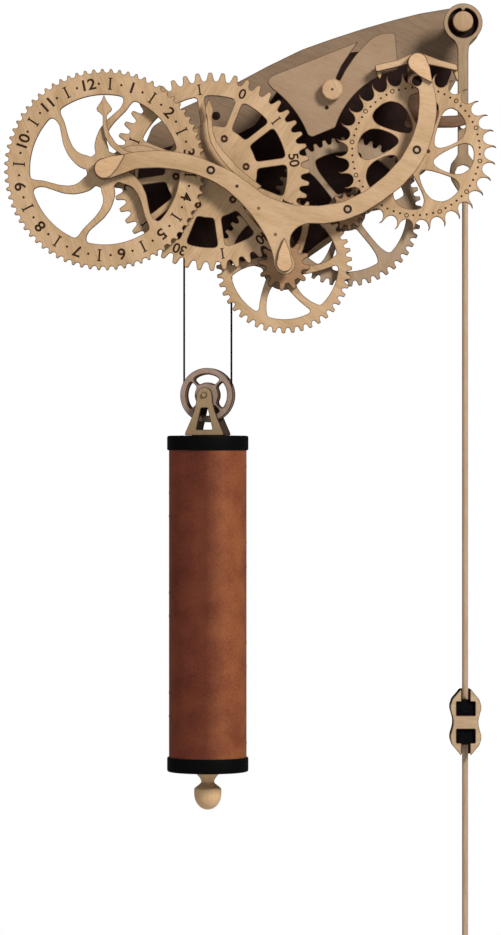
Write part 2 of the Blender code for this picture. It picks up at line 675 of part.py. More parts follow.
def bob_front_outline():
    """The same shape as the back, with a window over each weight and a slot out of each one."""
    slot = (BOB_SLOT, BOB_TOP[1])
    edge = (BOB_SLOT, BOB_WINDOW_HIGH)
    corner = (BOB_WINDOW, BOB_WINDOW_HIGH)
    foot = (BOB_WINDOW, BOB_WINDOW_LOW)
    right = about_bob((foot, corner, edge, slot, BOB_TOP) + BOB_QUARTER)
    return right + mirrored(right)


def bob_side(name, sign):
    """A cheek that holds the bob's faces apart, with the rod between the two cheeks."""
    x, z = BOB_CENTRE
    inside = 0.5
    half = [(dx - inside, dz) for dx, dz in BOB_QUARTER[1:]]
    half.insert(0, (CHEEK_INNER, BOB_QUARTER[1][1] + 1.5))
    outline = about_bob(half)
    outline = [(x + sign * (px - x), pz) for px, pz in outline] + [(x + sign * CHEEK_INNER, z)]
    return plate(name, outline, [], BOB_CHEEK_LAYER, TAN_WOOD, BOB_CENTRE)


def build_pendulum():
    hanger()
    turned("pendulum_rod", [(ROD_RADIUS, ROD_TOP - 9.0), (ROD_RADIUS, ROD_BOTTOM)], ROD_X, ROD_Y,
           PALE_WOOD, 12)
    plate("bob_front", bob_front_outline(), [], BOB_FRONT_LAYER, PALE_WOOD, BOB_CENTRE)
    plate("bob_back", bob_back_outline(), [], BOB_BACK_LAYER, TAN_WOOD, BOB_CENTRE)
    bob_side("bob_left_cheek", -1)
    bob_side("bob_right_cheek", 1)
    x, z = BOB_CENTRE
    for name, sign in (("bob_upper_weight", 1), ("bob_lower_weight", -1)):
        low, high = sorted((z + sign * WEIGHT_LOW, z + sign * WEIGHT_HIGH))
        block = [(x - WEIGHT_HALF, low), (x - WEIGHT_HALF, high), (x + WEIGHT_HALF, high),
                 (x + WEIGHT_HALF, low)]
        plate(name, block, [], BOB_WEIGHT_LAYER, BLACK, BOB_CENTRE)


# ==================================================================== drum, ratchet and click
RATCHET_TEETH = 12
CLICK_PIN = at(300.0, 29.6)
CLICK_PIN_RADIUS = 1.5


def ratchet_wheel():
    """The ratchet is the drum's front flange; its steep faces meet the click."""
    outline = []
    for i in range(RATCHET_TEETH):
        start = 360 * i / RATCHET_TEETH
        outline += [at(start, 20.5), at(start + 1.5, DRUM_FLANGE_RADIUS),
                    at(start + 16, DRUM_FLANGE_RADIUS - 1.6)]
    return plate("ratchet_wheel", outline, bores(MINUTE), RATCHET_LAYER, TAN_WOOD, MINUTE)


def click():
    """A lever on the drive cage whose nose points at the ratchet."""
    outline = arc(CLICK_PIN, 3.6, 150, 390, 7)
    outline += [at(322, 28.6), at(327, 24.6), at(319, 25.6)]
    bore = circle(CLICK_PIN_RADIUS + GAP, CLICK_PIN, 10)
    return plate("click", outline, [bore], RATCHET_LAYER, PALE_WOOD, CLICK_PIN)


def build_drum():
    ratchet_wheel()
    plate("drum_core", circle(DRUM_CORE_RADIUS, sides=28), bores(MINUTE), DRUM_LAYER, PALE_WOOD,
          MINUTE, True)
    plate("drum_flange", circle(DRUM_FLANGE_RADIUS, sides=28), bores(MINUTE), DRUM_FLANGE_LAYER,
          TAN_WOOD, MINUTE, True)
    wound = DRUM_CORD_RADIUS - CORD_RADIUS
    plate("wound_cord", circle(wound + 2 * CORD_RADIUS, sides=28), [circle(wound, sides=28)],
          WOUND_CORD_LAYER, BLACK, MINUTE, True)


# ==================================================================== weight and pulley
def pulley():
    """A grooved rim on four spokes, built about the origin and then yawed into place."""
    groove = PULLEY_CORD_RADIUS - CORD_RADIUS - GAP
    sides = 28
    profile = [(16.4, -4.5), (PULLEY_RADIUS, -4.5), (PULLEY_RADIUS, -3.0), (groove, -1.0),
               (groove, 1.0), (PULLEY_RADIUS, 3.0), (PULLEY_RADIUS, 4.5), (16.4, 4.5)]
    points = []
    for radius, y in profile:
        points += [(x, y, z) for x, z in circle(radius, sides=sides)]
    rings = len(profile)
    faces = []
    for ring in range(rings):
        near = ring * sides
        far = (ring + 1) % rings * sides
        faces += [(near + i, near + (i + 1) % sides, far + (i + 1) % sides, far + i)
                  for i in range(sides)]
    rim = solid("pulley", points, faces, PALE_WOOD, round_shape=True)
    spoke = straight_sides((15.2, 11.0), (2.6, 2.6))
    holes = windows((0, 0), 4, 45.0, spoke, 15.9, 10.3) + bores((0, 0))
    points, faces = extruded([circle(17.4, sides=sides)] + holes, (-2.6, 2.6))
    web = solid("pulley_web", points, faces, PALE_WOOD)
    join_with(rim, web)
    stand_on_pulley(rim)
    stand_on_pulley(web)


def bracket(name, layer):
    """An A-shaped cheek that carries one end of the pulley's axle."""
    foot = CAP_TOP + GAP - PULLEY[2]
    outline = arc((0, 0), 7.2, -75, 75, 6)
    outline += [(9.5, -9), (13, -22), (16, foot + 3), (16, foot), (-16, foot), (-16, foot + 3),
                (-13, -22), (-9.5, -9)]
    upper = [(-2.9, -12.4), (2.9, -12.4), (5.4, -21.8), (-5.4, -21.8)]
    lower = [(-6.2, -23.8), (6.2, -23.8), (7.0, -29.0), (-7.0, -29.0)]
    stand_on_pulley(plate(name, outline, [upper, lower] + bores((0, 0)), layer, PALE_WOOD))


def build_weight():
    pulley()
    bracket("bracket_front", (-BRACKET_OUTER, -BRACKET_INNER))
    bracket("bracket_back", (BRACKET_INNER, BRACKET_OUTER))
    stand_on_pulley(rod("pulley_axle", (0, 0), ARBOR_RADIUS, (-AXLE_HALF, AXLE_HALF)))
    x, y, _ = PULLEY
    skirt = CAP_RADIUS - CAP_WALL
    turned("weight_top_cap", [(CAP_RADIUS, CAP_TOP), (CAP_RADIUS, CAP_TOP - CAP_DEPTH),
                              (skirt, CAP_TOP - CAP_DEPTH), (skirt, CAP_TOP - CAP_FLOOR)], x, y, BLACK)
    turned("weight_bottom_cap", [(skirt, WEIGHT_BOTTOM + CAP_FLOOR),
                                 (skirt, WEIGHT_BOTTOM + CAP_DEPTH),
                                 (CAP_RADIUS, WEIGHT_BOTTOM + CAP_DEPTH),
                                 (CAP_RADIUS, WEIGHT_BOTTOM)], x, y, BLACK)
    top = CAP_TOP - CAP_FLOOR - GAP
    bottom = WEIGHT_BOTTOM + CAP_FLOOR + GAP
    bore = TUBE_RADIUS - TUBE_WALL
    turned("weight_tube", [(TUBE_RADIUS, top), (TUBE_RADIUS, bottom), (bore, bottom), (bore, top)],
           x, y, KRAFT, hollow=True)
    loose = bore - 1.0
    turned("ballast", [(loose, bottom + BALLAST_HEIGHT), (loose, bottom)], x, y, LEAD, 16)
    foot = WEIGHT_BOTTOM - GAP
    drops = [(9.6, 0), (8.4, 2.6), (6.2, 5.4), (5.3, 8.2), (7.4, 10.4), (10.4, 12.8), (11.1, 14.4),
             (11.1, 19.0), (9.6, 24.4), (6.2, 28.8), (2.2, 30.9)]
    turned("finial", [(radius, foot - drop) for radius, drop in drops], x, y, PALE_WOOD, 20)


def build_cord():
    """The falling cord, the loop under the pulley and the fixed end, each a piece of one cord."""
    yaw = math.radians(PULLEY_YAW)
    reach_x = PULLEY_CORD_RADIUS * math.cos(yaw)
    reach_y = PULLEY_CORD_RADIUS * math.sin(yaw)
    low = PULLEY[2] + GAP
    right = (PULLEY[0] + reach_x, PULLEY[1] + reach_y)
    left = (PULLEY[0] - reach_x, PULLEY[1] - reach_y)
    cord("cord_running", [(*right, 0.0), (*right, low)])
    cord("cord_fixed", [(*left, CORD_PEG[1] - 3.6), (*left, low)])
    steps = 16
    loop = []
    for i in range(steps + 1):
        x, z = at(90 + 180 * i / steps, PULLEY_CORD_RADIUS)
        loop.append((PULLEY[0] + x * math.cos(yaw), PULLEY[1] + x * math.sin(yaw), PULLEY[2] + z))
    cord("cord_loop", loop)


def build_train():
    hour_wheel()
    hour_pinion()
    minute_wheel()
    drive_cage()
    lower_wheel()
    third_wheel()
    escape_wheel()
    pinion("lower_pinion", LOWER, MINUTE_MODULE, MINUTE_TEETH, MINUTE, MINUTE_TOOTH,
           LOWER_PINION_TIP, LOWER_PINION_ROOT, LOWER_PINION_LAYER)
    pinion("third_pinion", THIRD, LOWER_MODULE, LOWER_TEETH, LOWER, LOWER_TOOTH,
           THIRD_PINION_TIP, THIRD_PINION_ROOT, THIRD_PINION_LAYER)
    pinion("escape_pinion", ESCAPE, THIRD_MODULE, THIRD_TEETH, THIRD, THIRD_TOOTH,
           ESCAPE_PINION_TIP, ESCAPE_PINION_ROOT, ESCAPE_PINION_LAYER)
    collar_layer = (ESCAPE_LAYER[1] + GAP, ESCAPE_PINION_LAYER[0] - GAP)
    plate("escape_collar", circle(COLLAR_RADIUS, ESCAPE, 20), bores(ESCAPE), collar_layer,
          TAN_WOOD, ESCAPE, True)


def main():
    clear_scene()
    build_frame()
    build_train()
    click()
    click_pin_layer = (CAGE_DISC_LAYER[1] + GAP, RATCHET_LAYER[1] + 0.5)
    rod("click_pin", CLICK_PIN, CLICK_PIN_RADIUS, click_pin_layer, sides=10)
    build_drum()
    build_anchor()
    build_pendulum()
    build_weight()
    build_cord()


main()
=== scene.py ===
"""Looks for the weight-driven plywood clock: laser-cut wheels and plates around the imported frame.

Lengths are in millimetres until a mesh is made. Clock angles run clockwise from twelve o'clock,
in degrees, seen from the front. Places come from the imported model's own nodes.
"""

import math

import bmesh
import bpy
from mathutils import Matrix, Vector
from mathutils.geometry import tessellate_polygon


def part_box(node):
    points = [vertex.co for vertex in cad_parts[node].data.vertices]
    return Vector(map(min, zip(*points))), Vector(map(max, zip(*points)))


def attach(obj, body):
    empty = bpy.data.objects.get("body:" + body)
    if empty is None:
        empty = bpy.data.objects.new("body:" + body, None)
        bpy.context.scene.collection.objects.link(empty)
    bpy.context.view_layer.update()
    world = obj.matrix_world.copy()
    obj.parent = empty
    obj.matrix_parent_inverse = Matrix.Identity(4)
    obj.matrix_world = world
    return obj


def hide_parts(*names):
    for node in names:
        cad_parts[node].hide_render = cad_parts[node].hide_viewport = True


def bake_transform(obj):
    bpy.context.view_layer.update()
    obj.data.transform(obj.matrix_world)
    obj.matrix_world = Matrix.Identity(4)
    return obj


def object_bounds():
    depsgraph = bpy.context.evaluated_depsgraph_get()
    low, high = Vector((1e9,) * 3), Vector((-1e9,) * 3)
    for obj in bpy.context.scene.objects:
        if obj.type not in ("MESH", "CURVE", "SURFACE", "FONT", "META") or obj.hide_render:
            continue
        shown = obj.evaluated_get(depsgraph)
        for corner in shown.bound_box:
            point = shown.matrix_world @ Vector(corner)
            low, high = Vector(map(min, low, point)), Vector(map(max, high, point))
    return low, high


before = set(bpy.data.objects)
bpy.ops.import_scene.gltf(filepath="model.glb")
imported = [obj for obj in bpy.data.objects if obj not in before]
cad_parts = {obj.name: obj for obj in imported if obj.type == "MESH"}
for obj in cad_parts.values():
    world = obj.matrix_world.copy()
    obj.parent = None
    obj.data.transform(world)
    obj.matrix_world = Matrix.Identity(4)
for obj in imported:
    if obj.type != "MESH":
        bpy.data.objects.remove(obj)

CAD_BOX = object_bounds()
MM = 0.001
CHAMFER = 0.22        # broken edge of a laser-cut plate
BURN_DEPTH = 0.06     # how far a burnt mark stands proud of the face
SHARP_ANGLE = 35      # edges that turn more than this many degrees stay sharp


# ==================================================================== places from the frame
def place(node):
    """Centre (x, z) of a node's box, in millimetres."""
    low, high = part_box(node)
    return ((low[0] + high[0]) / 2 / MM, (low[2] + high[2]) / 2 / MM)


def layer(node):
    """Front and back y of a node, in millimetres."""
    low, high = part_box(node)
    return (low[1] / MM, high[1] / MM)


def span(node):
    """Lowest and highest z of a node, in millimetres."""
    low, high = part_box(node)
    return (low[2] / MM, high[2] / MM)


HOUR = place("hour_arbor")
MINUTE = place("minute_arbor")
LOWER = place("lower_arbor")
THIRD = place("third_arbor")
ESCAPE = place("escape_arbor")
PALLET = place("pallet_arbor")
DOWEL = place("pendulum_dowel")
KNIFE_RADIUS = 8.3    # of the dowel that the pendulum's knife edge rests on
CRUTCH_PIN = (DOWEL[0], 45.1)
ARBOR_RADIUS = 2.4
BORE_RADIUS = 2.7


# ==================================================================== outlines
def at(clock, radius, centre=(0.0, 0.0)):
    turn = math.radians(clock)
    return (centre[0] + radius * math.sin(turn), centre[1] + radius * math.cos(turn))


def circle(radius, centre=(0.0, 0.0), sides=40):
    return [at(360 * i / sides, radius, centre) for i in range(sides)]


def arc(centre, radius, start, end, steps):
    return [at(start + (end - start) * i / steps, radius, centre) for i in range(steps + 1)]


def evenly(outline, spacing):
    """The same closed outline with points at equal steps along it."""
    lengths = [(Vector(b) - Vector(a)).length for a, b in zip(outline, outline[1:] + outline[:1])]
    total = sum(lengths)
    count = max(8, round(total / spacing))
    points = []
    side, walked = 0, 0.0
    for i in range(count):
        goal = total * i / count
        while walked + lengths[side] < goal:
            walked += lengths[side]
            side += 1
        share = (goal - walked) / lengths[side]
        here = Vector(outline[side]).lerp(Vector(outline[(side + 1) % len(outline)]), share)
        points.append(tuple(here))
    return points


def eased(outline, reach=1.4, spacing=0.8):
    """Rounds an outline's corners over about the given reach, and smooths its curves."""
    points = evenly(outline, spacing)
    size = len(points)
    for _ in range(max(1, round(2 * (reach / spacing) ** 2))):
        points = [((points[i - 1][0] + 2 * x + points[(i + 1) % size][0]) / 4,
                   (points[i - 1][1] + 2 * z + points[(i + 1) % size][1]) / 4)
                  for i, (x, z) in enumerate(points)]
    return points


def signed_area(outline):
    return sum(ax * bz - bx * az
               for (ax, az), (bx, bz) in zip(outline, outline[1:] + outline[:1])) / 2


def inset(outline, distance):
    """Moves an anticlockwise outline's points inwards; a clockwise one's outwards."""
    moved = []
    size = len(outline)
    for i in range(size):
        before = Vector(outline[i - 1])
        here = Vector(outline[i])
        after = Vector(outline[(i + 1) % size])
        a = (here - before).normalized()
        b = (after - here).normalized()
        normal = Vector((-a.y - b.y, a.x + b.x))
        if normal.length < 1e-6:
            normal = Vector((-a.y, a.x))
        normal.normalize()
        spread = max(0.5, normal.dot(Vector((-a.y, a.x))))
        moved.append(tuple(here + normal * (distance / spread)))
    return moved


# ==================================================================== materials
class Finish:
    """A new material, with short ways to add the nodes that the finishes share."""

    def __init__(self, name, specular):
        self.material = bpy.data.materials.new(name)
        self.material.use_nodes = True
        self.tree = self.material.node_tree
        self.shader = self.tree.nodes["Principled BSDF"]
        self.shader.inputs["Specular IOR Level"].default_value = specular
        self.spot = self.add("ShaderNodeTexCoord", {}).outputs["Object"]

    def add(self, kind, inputs, **settings):
        """Adds a node. Each input takes a plain value, or another node's output to link."""
        made = self.tree.nodes.new(kind)
        for key, value in settings.items():
            setattr(made, key, value)
        for socket, value in inputs.items():
            if isinstance(value, bpy.types.NodeSocket):
                self.tree.links.new(value, made.inputs[socket])
            else:
                made.inputs[socket].default_value = value
        return made

    def mapped(self, vector, **inputs):
        return self.add("ShaderNodeMapping", {"Vector": vector, **inputs}).outputs["Vector"]

    def noise(self, vector, scale, detail, **inputs):
        sockets = {"Vector": vector, "Scale": scale, "Detail": detail, **inputs}
        return self.add("ShaderNodeTexNoise", sockets).outputs["Fac"]

    def scaled(self, value, factor, plus=0.0):
        """A value times a factor, plus a number or another value."""
        made = self.add("ShaderNodeMath", {0: value, 1: factor, 2: plus}, operation="MULTIPLY_ADD")
        return made.outputs[0]

    def axis(self, letter):
        return self.add("ShaderNodeSeparateXYZ", {"Vector": self.spot}).outputs[letter]

    def ramp(self, value, *stops):
        """A colour from (position, colour) stops."""
        made = self.add("ShaderNodeValToRGB", {"Fac": value})
        elements = made.color_ramp.elements
        for element, (position, colour) in zip(elements, (stops[0], stops[-1])):
            element.position = position
            element.color = (*colour, 1)
        for position, colour in stops[1:-1]:
            elements.new(position).color = (*colour, 1)
        return made.outputs["Color"]

    def times(self, colour, tint, strength=1.0):
        """A colour multiplied by a tint."""
        made = self.add("ShaderNodeMix", {"Factor": strength, "A": colour, "B": tint},
                        data_type="RGBA", blend_type="MULTIPLY")
        return made.outputs["Result"]

    def colour(self, colour):
        self.tree.links.new(colour, self.shader.inputs["Base Color"])

    def roughness(self, value, low, high):
        made = self.add("ShaderNodeMapRange", {"Value": value, "To Min": low, "To Max": high})
        self.tree.links.new(made.outputs["Result"], self.shader.inputs["Roughness"])

    def even_roughness(self, roughness):
        self.shader.inputs["Roughness"].default_value = roughness

    def bump(self, height, strength, depth):
        sockets = {"Height": height, "Strength": strength, "Distance": depth}
        made = self.add("ShaderNodeBump", sockets)
        self.tree.links.new(made.outputs["Normal"], self.shader.inputs["Normal"])


WHITE = (1.0, 1.0, 1.0)
SCORCH_REACH = 0.0011   # how far the laser has browned a face from its edge, in metres
VENEER = 1.25           # thickness of one veneer in the plywood


def wood(name, light, dark, grain=0.0, roughness=0.55, figure=1.0, seed=0.0):
    """Plywood or dowel: long fibres, broad figure and fine pores along the grain's bearing."""
    finish = Finish(name, 0.35)
    turned = finish.mapped(finish.spot, Rotation=(0, math.radians(grain), 0),
                           Location=(seed * 0.37, seed * 0.11, seed * 0.73))
    along = finish.mapped(turned, Scale=(1.0, 1.0, 0.06))
    fibres = finish.noise(along, 900.0, 5.0, Roughness=0.62)
    wide = finish.mapped(turned, Scale=(1.0, 1.0, 0.22))
    bands = finish.noise(wide, 60.0, 3.0, Distortion=0.8)
    pores = finish.ramp(finish.noise(along, 2600.0, 1.0), (0.30, (0.62, 0.62, 0.62)), (0.40, WHITE))
    figured = finish.scaled(bands, 0.55 * figure, finish.scaled(fibres, 0.45))
    bare = finish.times(finish.ramp(figured, (0.36, dark), (0.60, light)), pores, 0.7)
    border = finish.add("ShaderNodeAmbientOcclusion", {"Distance": SCORCH_REACH}, inside=True,
                        only_local=True, samples=6)
    scorch = finish.ramp(border.outputs["AO"], (0.50, (0.26, 0.15, 0.08)), (0.93, WHITE))
    finish.colour(finish.times(bare, scorch))
    finish.roughness(fibres, roughness - 0.08, roughness + 0.10)
    finish.bump(fibres, 0.22, 0.0002)
    return finish.material


def charred_edge(name, brown):
    """A laser-cut plywood edge: scorched, with the veneers showing as stripes through the sheet."""
    finish = Finish(name, 0.25)
    phase = finish.scaled(finish.axis("Y"), 2 * math.pi / (VENEER * MM))
    stripes = finish.add("ShaderNodeMath", {0: phase}, operation="SINE").outputs[0]
    char = finish.scaled(stripes, 0.12, finish.noise(finish.spot, 350.0, 4.0))
    finish.colour(finish.ramp(char, (0.35, [part * 0.45 for part in brown]), (0.72, brown)))
    finish.even_roughness(0.72)
    finish.bump(char, 0.3, 0.0002)
    return finish.material


def speckled(name, low, high, scale, roughness, bump_depth=0.0, specular=0.4, stretch=(1, 1, 1)):
    """A plain finish with a fine mottle, for cord, plastic, metal, burnt marks, painted shade and the
    floor.
    """
    finish = Finish(name, specular)
    mottle = finish.noise(finish.mapped(finish.spot, Scale=stretch), scale, 5.0)
    finish.colour(finish.ramp(mottle, (0.35, low), (0.65, high)))
    finish.roughness(mottle, roughness - 0.06, roughness + 0.08)
    if bump_depth:
        finish.bump(mottle, 0.5, bump_depth)
    return finish.material


PALE_LIGHT, PALE_DARK = (0.61, 0.41, 0.24), (0.44, 0.28, 0.14)
TAN_LIGHT, TAN_DARK = (0.43, 0.25, 0.13), (0.30, 0.165, 0.08)

CHAR = charred_edge("charred_edge", (0.12, 0.062, 0.030))
# Near-black char: real burnt rings round the arbors, and painted shade on edges that stand in shadow
# and on the bob's cheeks.
DARK_CHAR_AND_SHADE = charred_edge("charred_edge_and_painted_shade", (0.035, 0.016, 0.010))
BURN = speckled("burnt_mark", (0.018, 0.008, 0.004), (0.055, 0.025, 0.012), 900, 0.8, 0.0001, 0.1)
BLACK_PLASTIC = speckled("black_plastic", (0.001, 0.001, 0.001), (0.002, 0.002, 0.002), 500, 0.6,
                         0.00005, 0.06)
BLACK_CORD = speckled("black_cord", (0.001, 0.001, 0.001), (0.004, 0.004, 0.004), 1500, 0.85,
                      0.0002, 0.05, (1, 1, 0.4))
BLACK_METAL = speckled("black_metal", (0.001, 0.001, 0.002), (0.003, 0.003, 0.004), 300, 0.5, 0,
                       0.06)
IRON = speckled("ballast_iron", (0.08, 0.08, 0.085), (0.15, 0.15, 0.16), 300, 0.5)
DOWEL_WOOD = wood("dowel_wood", (0.56, 0.41, 0.28), (0.43, 0.29, 0.18), 0, 0.5, 0.8, 3)
# Painted shade: a near-black finish for sheets, rings and discs put where the clock stands in deep
# shade.
SHADE = speckled("painted_shade", (0.012, 0.005, 0.004), (0.022, 0.009, 0.007), 120, 0.6, 0.00008,
                 0.1)


# ==================================================================== mesh pieces
def finish_piece(piece, body, replaced):
    """Puts a piece in the scene, on its body and in place of the replaced nodes."""
    bpy.context.collection.objects.link(piece)
    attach(piece, body)
    if replaced:
        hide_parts(*replaced)


def mesh_piece(name, points, faces, materials, slots=None):
    """An object from points in millimetres, smooth apart from its sharp edges."""
    mesh = bpy.data.meshes.new(name)
    mesh.from_pydata([Vector(p) * MM for p in points], [], faces)
    for material in materials:
        mesh.materials.append(material)
    if slots:
        for polygon, index in zip(mesh.polygons, slots):
            polygon.material_index = index
    work = bmesh.new()
    work.from_mesh(mesh)
    bmesh.ops.recalc_face_normals(work, faces=work.faces)
    work.to_mesh(mesh)
    work.free()
    mesh.shade_smooth()
    mesh.set_sharp_from_angle(angle=math.radians(SHARP_ANGLE))
    return bpy.data.objects.new(name, mesh)


def lofted(rings, closed=False):
    """Points and faces through rings of equal size, with flat ends unless they close up."""
    count = len(rings)
    sides = len(rings[0])
    faces = []
    for ring in range(count if closed else count - 1):
        upper = ring * sides
        lower = (ring + 1) % count * sides
        for i in range(sides):
            j = (i + 1) % sides
            faces.append((upper + i, upper + j, lower + j, lower + i))
    if not closed:
        faces.append(tuple(range(sides)))
        faces.append(tuple(range((count - 1) * sides, count * sides)))
    return [point for ring in rings for point in ring], faces


def filled(loops):
    """Triangles that fill an outline and leave its holes open."""
    triangles = tessellate_polygon([[Vector((x, z, 0)) for x, z in loop] for loop in loops])
    return [tuple(triangle) for triangle in triangles]


def cut_mesh(loops, depth, chamfer):
    """Points, faces and material slots of a laser-cut plate with broken edges.

    The first loop is the outline and the others are holes. Slot 0 is the sheet, slot 1 the edge.
    """
    front, back = depth
    loops = [loop if (signed_area(loop) > 0) == (k == 0) else loop[::-1]
             for k, loop in enumerate(loops)]
    inner = [inset(loop, chamfer) for loop in loops]
    flat_inner = [p for loop in inner for p in loop]
    flat = [p for loop in loops for p in loop]
    count = len(flat)
    points = [(x, front, z) for x, z in flat_inner]
    points += [(x, front + chamfer, z) for x, z in flat]
    points += [(x, back - chamfer, z) for x, z in flat]
    points += [(x, back, z) for x, z in flat_inner]
    faces = filled(inner)
    faces += [tuple(i + 3 * count for i in reversed(triangle)) for triangle in faces]
    slots = [0] * len(faces)
    start = 0
    for loop in loops:
        size = len(loop)
        for i in range(size):
            a = start + i
            b = start + (i + 1) % size
            for low in (0, count, 2 * count):
                faces.append((a + low, b + low, b + low + count, a + low + count))
                slots.append(1)
        start += size
    return points, faces, slots


def cut_plate(name, loops, body, replaced, sheet, edge=CHAR, depth=None, chamfer=CHAMFER,
              placed=list):
    """A plate as deep as the node it replaces, unless a depth is given."""
    points, faces, slots = cut_mesh(loops, depth or layer(replaced[0]), chamfer)
    piece = mesh_piece(name, placed(points), faces, [sheet, edge], slots)
    finish_piece(piece, body, replaced)


def turned_piece(name, profile, x, y, body, replaced, material, sides=64, closed=False):
    """A piece turned about a vertical axis from (radius, z) points, from the top down."""
    rings = [[(x + px, y + py, z) for px, py in circle(radius, sides=sides)]
             for radius, z in profile]
    finish_piece(mesh_piece(name, *lofted(rings, closed), [material]), body, replaced)


def pin(name, centre, radius, depth, body, replaced, material, sides=32):
    """A round dowel along y, with softly rounded ends."""
    soft = min(0.5, radius * 0.25)
    front, back = depth
    profile = [(radius - soft, front), (radius - soft * 0.3, front + soft * 0.3),
               (radius, front + soft), (radius, back - soft), (radius - soft, back)]
    rings = [[(x, y, z) for x, z in circle(ring, centre, sides)] for ring, y in profile]
    finish_piece(mesh_piece(name, *lofted(rings), [material]), body, replaced)


# ==================================================================== gear outlines
WHEEL_SHARE = 0.47      # of the pitch taken by a wheel's tooth
PINION_SHARE = 0.40
HOUR_TOOTH = 3.6        # bearing of the middle of each wheel's first tooth
MINUTE_TOOTH = 22.0
LOWER_TOOTH = 4.6
THIRD_TOOTH = 4.5
ESCAPE_TOOTH = 3.2


def epicycloid_turn(pitch, rolling, radius):
    """Degrees that a rolled flank turns inwards from the pitch circle to a radius."""
    reach = pitch + rolling
    cosine = (reach ** 2 + rolling ** 2 - radius ** 2) / (2 * rolling * reach)
    rolled = math.acos(max(-1.0, min(1.0, cosine)))
    centre = rolled * rolling / pitch
    x = reach * math.cos(centre) - rolling * math.cos(centre + rolled)
    y = reach * math.sin(centre) - rolling * math.sin(centre + rolled)
    return math.degrees(math.atan2(y, x))


def toothed(teeth, first, flank, centre):
    """An outline of equal teeth, from one flank's (radius, half angle) points, root first."""
    outline = []
    for i in range(teeth):
        middle = first + 360 * i / teeth
        outline += [at(middle - half, radius, centre) for radius, half in flank]
        outline += [at(middle + half, radius, centre) for radius, half in reversed(flank)]
    return outline


def wheel_outline(module, teeth, mate_teeth, first, tip, root, centre, foot=0.36):
    pitch = module * teeth / 2
    rolling = module * mate_teeth / 4
    step = 360 / teeth
    half = step * WHEEL_SHARE / 2
    depth = pitch - root
    flank = [(root, step * foot * 1.12), (root + depth * 0.12, step * foot)]
    flank.append((root + depth * 0.5, (step * foot + half) / 2 - step * 0.012))
    flank.append((pitch, half))
    for share in (0.4, 0.75, 0.94, 1.0):
        radius = pitch + (tip - pitch) * share
        turn = half - epicycloid_turn(pitch, rolling, radius)
        flank.append((radius, turn if share < 0.98 else turn * 0.55))
    return toothed(teeth, first, flank, centre)


def pinion_outline(module, leaves, mate_teeth, first, tip, root, centre):
    pitch = module * leaves / 2
    rolling = module * mate_teeth / 4
    half = 360 / leaves * PINION_SHARE / 2
    flank = [(root, half * 1.8), (root + (pitch - root) * 0.3, half * 1.35), (pitch, half)]
    for share in (0.4, 0.8):
        radius = pitch + (tip - pitch) * share
        flank.append((radius, half * (1 - 0.35 * share) - epicycloid_turn(pitch, rolling, radius)))
    flank.append((tip, half * 0.16))
    return toothed(leaves, first, flank, centre)


def meshing_tooth(driver, driver_teeth, driver_first, mate, mate_teeth):
    """Bearing of the mate's tooth that meets the middle of a gap between two of the driver's."""
    bearing = math.degrees(math.atan2(mate[0] - driver[0], mate[1] - driver[1]))
    mate_part = 0.5 - (bearing - driver_first) * driver_teeth / 360
    return bearing + 180 - mate_part * 360 / mate_teeth


def opening(centre, sides, turn, next_turn, outer, inner):
    """A window between two spokes, from (radius, left edge, right edge) rows of a spoke."""
    right = [at(turn + edge, radius, centre) for radius, _, edge in sides]
    left = [at(next_turn + edge, radius, centre) for radius, edge, _ in reversed(sides)]
    top_start = next_turn + sides[0][1]
    top_end = turn + sides[0][2]
    steps = max(3, round((top_start - top_end) / 5))
    outer_arc = arc(centre, outer, top_start - 1.5, top_end + 1.5, steps)
    low_start = turn + sides[-1][2]
    low_end = next_turn + sides[-1][1]
    inner_arc = arc(centre, inner, low_start + 1.5, low_end - 1.5, 6)
    return eased(right + inner_arc + left + outer_arc, 1.3, 0.8)


def windows(centre, count, first, sides, outer, inner):
    step = 360 / count
    return [opening(centre, sides, first + step * i, first + step * (i + 1), outer, inner)
            for i in range(count)]


def straight_sides(radii, widths, lead=0.0):
    """Rows of a straight spoke, from its widths, which may lead by some degrees at its foot."""
    outer, inner = radii[0], radii[-1]
    rows = []
    for radius, width in zip(radii, widths):
        half = math.degrees(math.asin(width / 2 / radius))
        share = (outer - radius) / (outer - inner)
        rows.append((radius, lead * share - half, lead * share + half))
    return rows


def bore(centre):
    return circle(BORE_RADIUS, centre, 32)


# ==================================================================== burnt marks and numerals
def text_mesh(body, size):
    """Flat outline of a numeral as (points, triangles), centred, in millimetres."""
    curve = bpy.data.curves.new("numeral", "FONT")
    curve.body = body
    curve.size = size
    curve.align_x = "CENTER"
    curve.align_y = "CENTER"
    curve.offset = size * 0.018
    curve.space_character = 0.92
    thing = bpy.data.objects.new("numeral", curve)
    bpy.context.collection.objects.link(thing)
    graph = bpy.context.evaluated_depsgraph_get()
    mesh = bpy.data.meshes.new_from_object(thing.evaluated_get(graph))
    mesh.calc_loop_triangles()
    points = [(v.co.x, v.co.y) for v in mesh.vertices]
    triangles = [tuple(t.vertices) for t in mesh.loop_triangles]
    bpy.data.objects.remove(thing)
    bpy.data.meshes.remove(mesh)
    return points, triangles


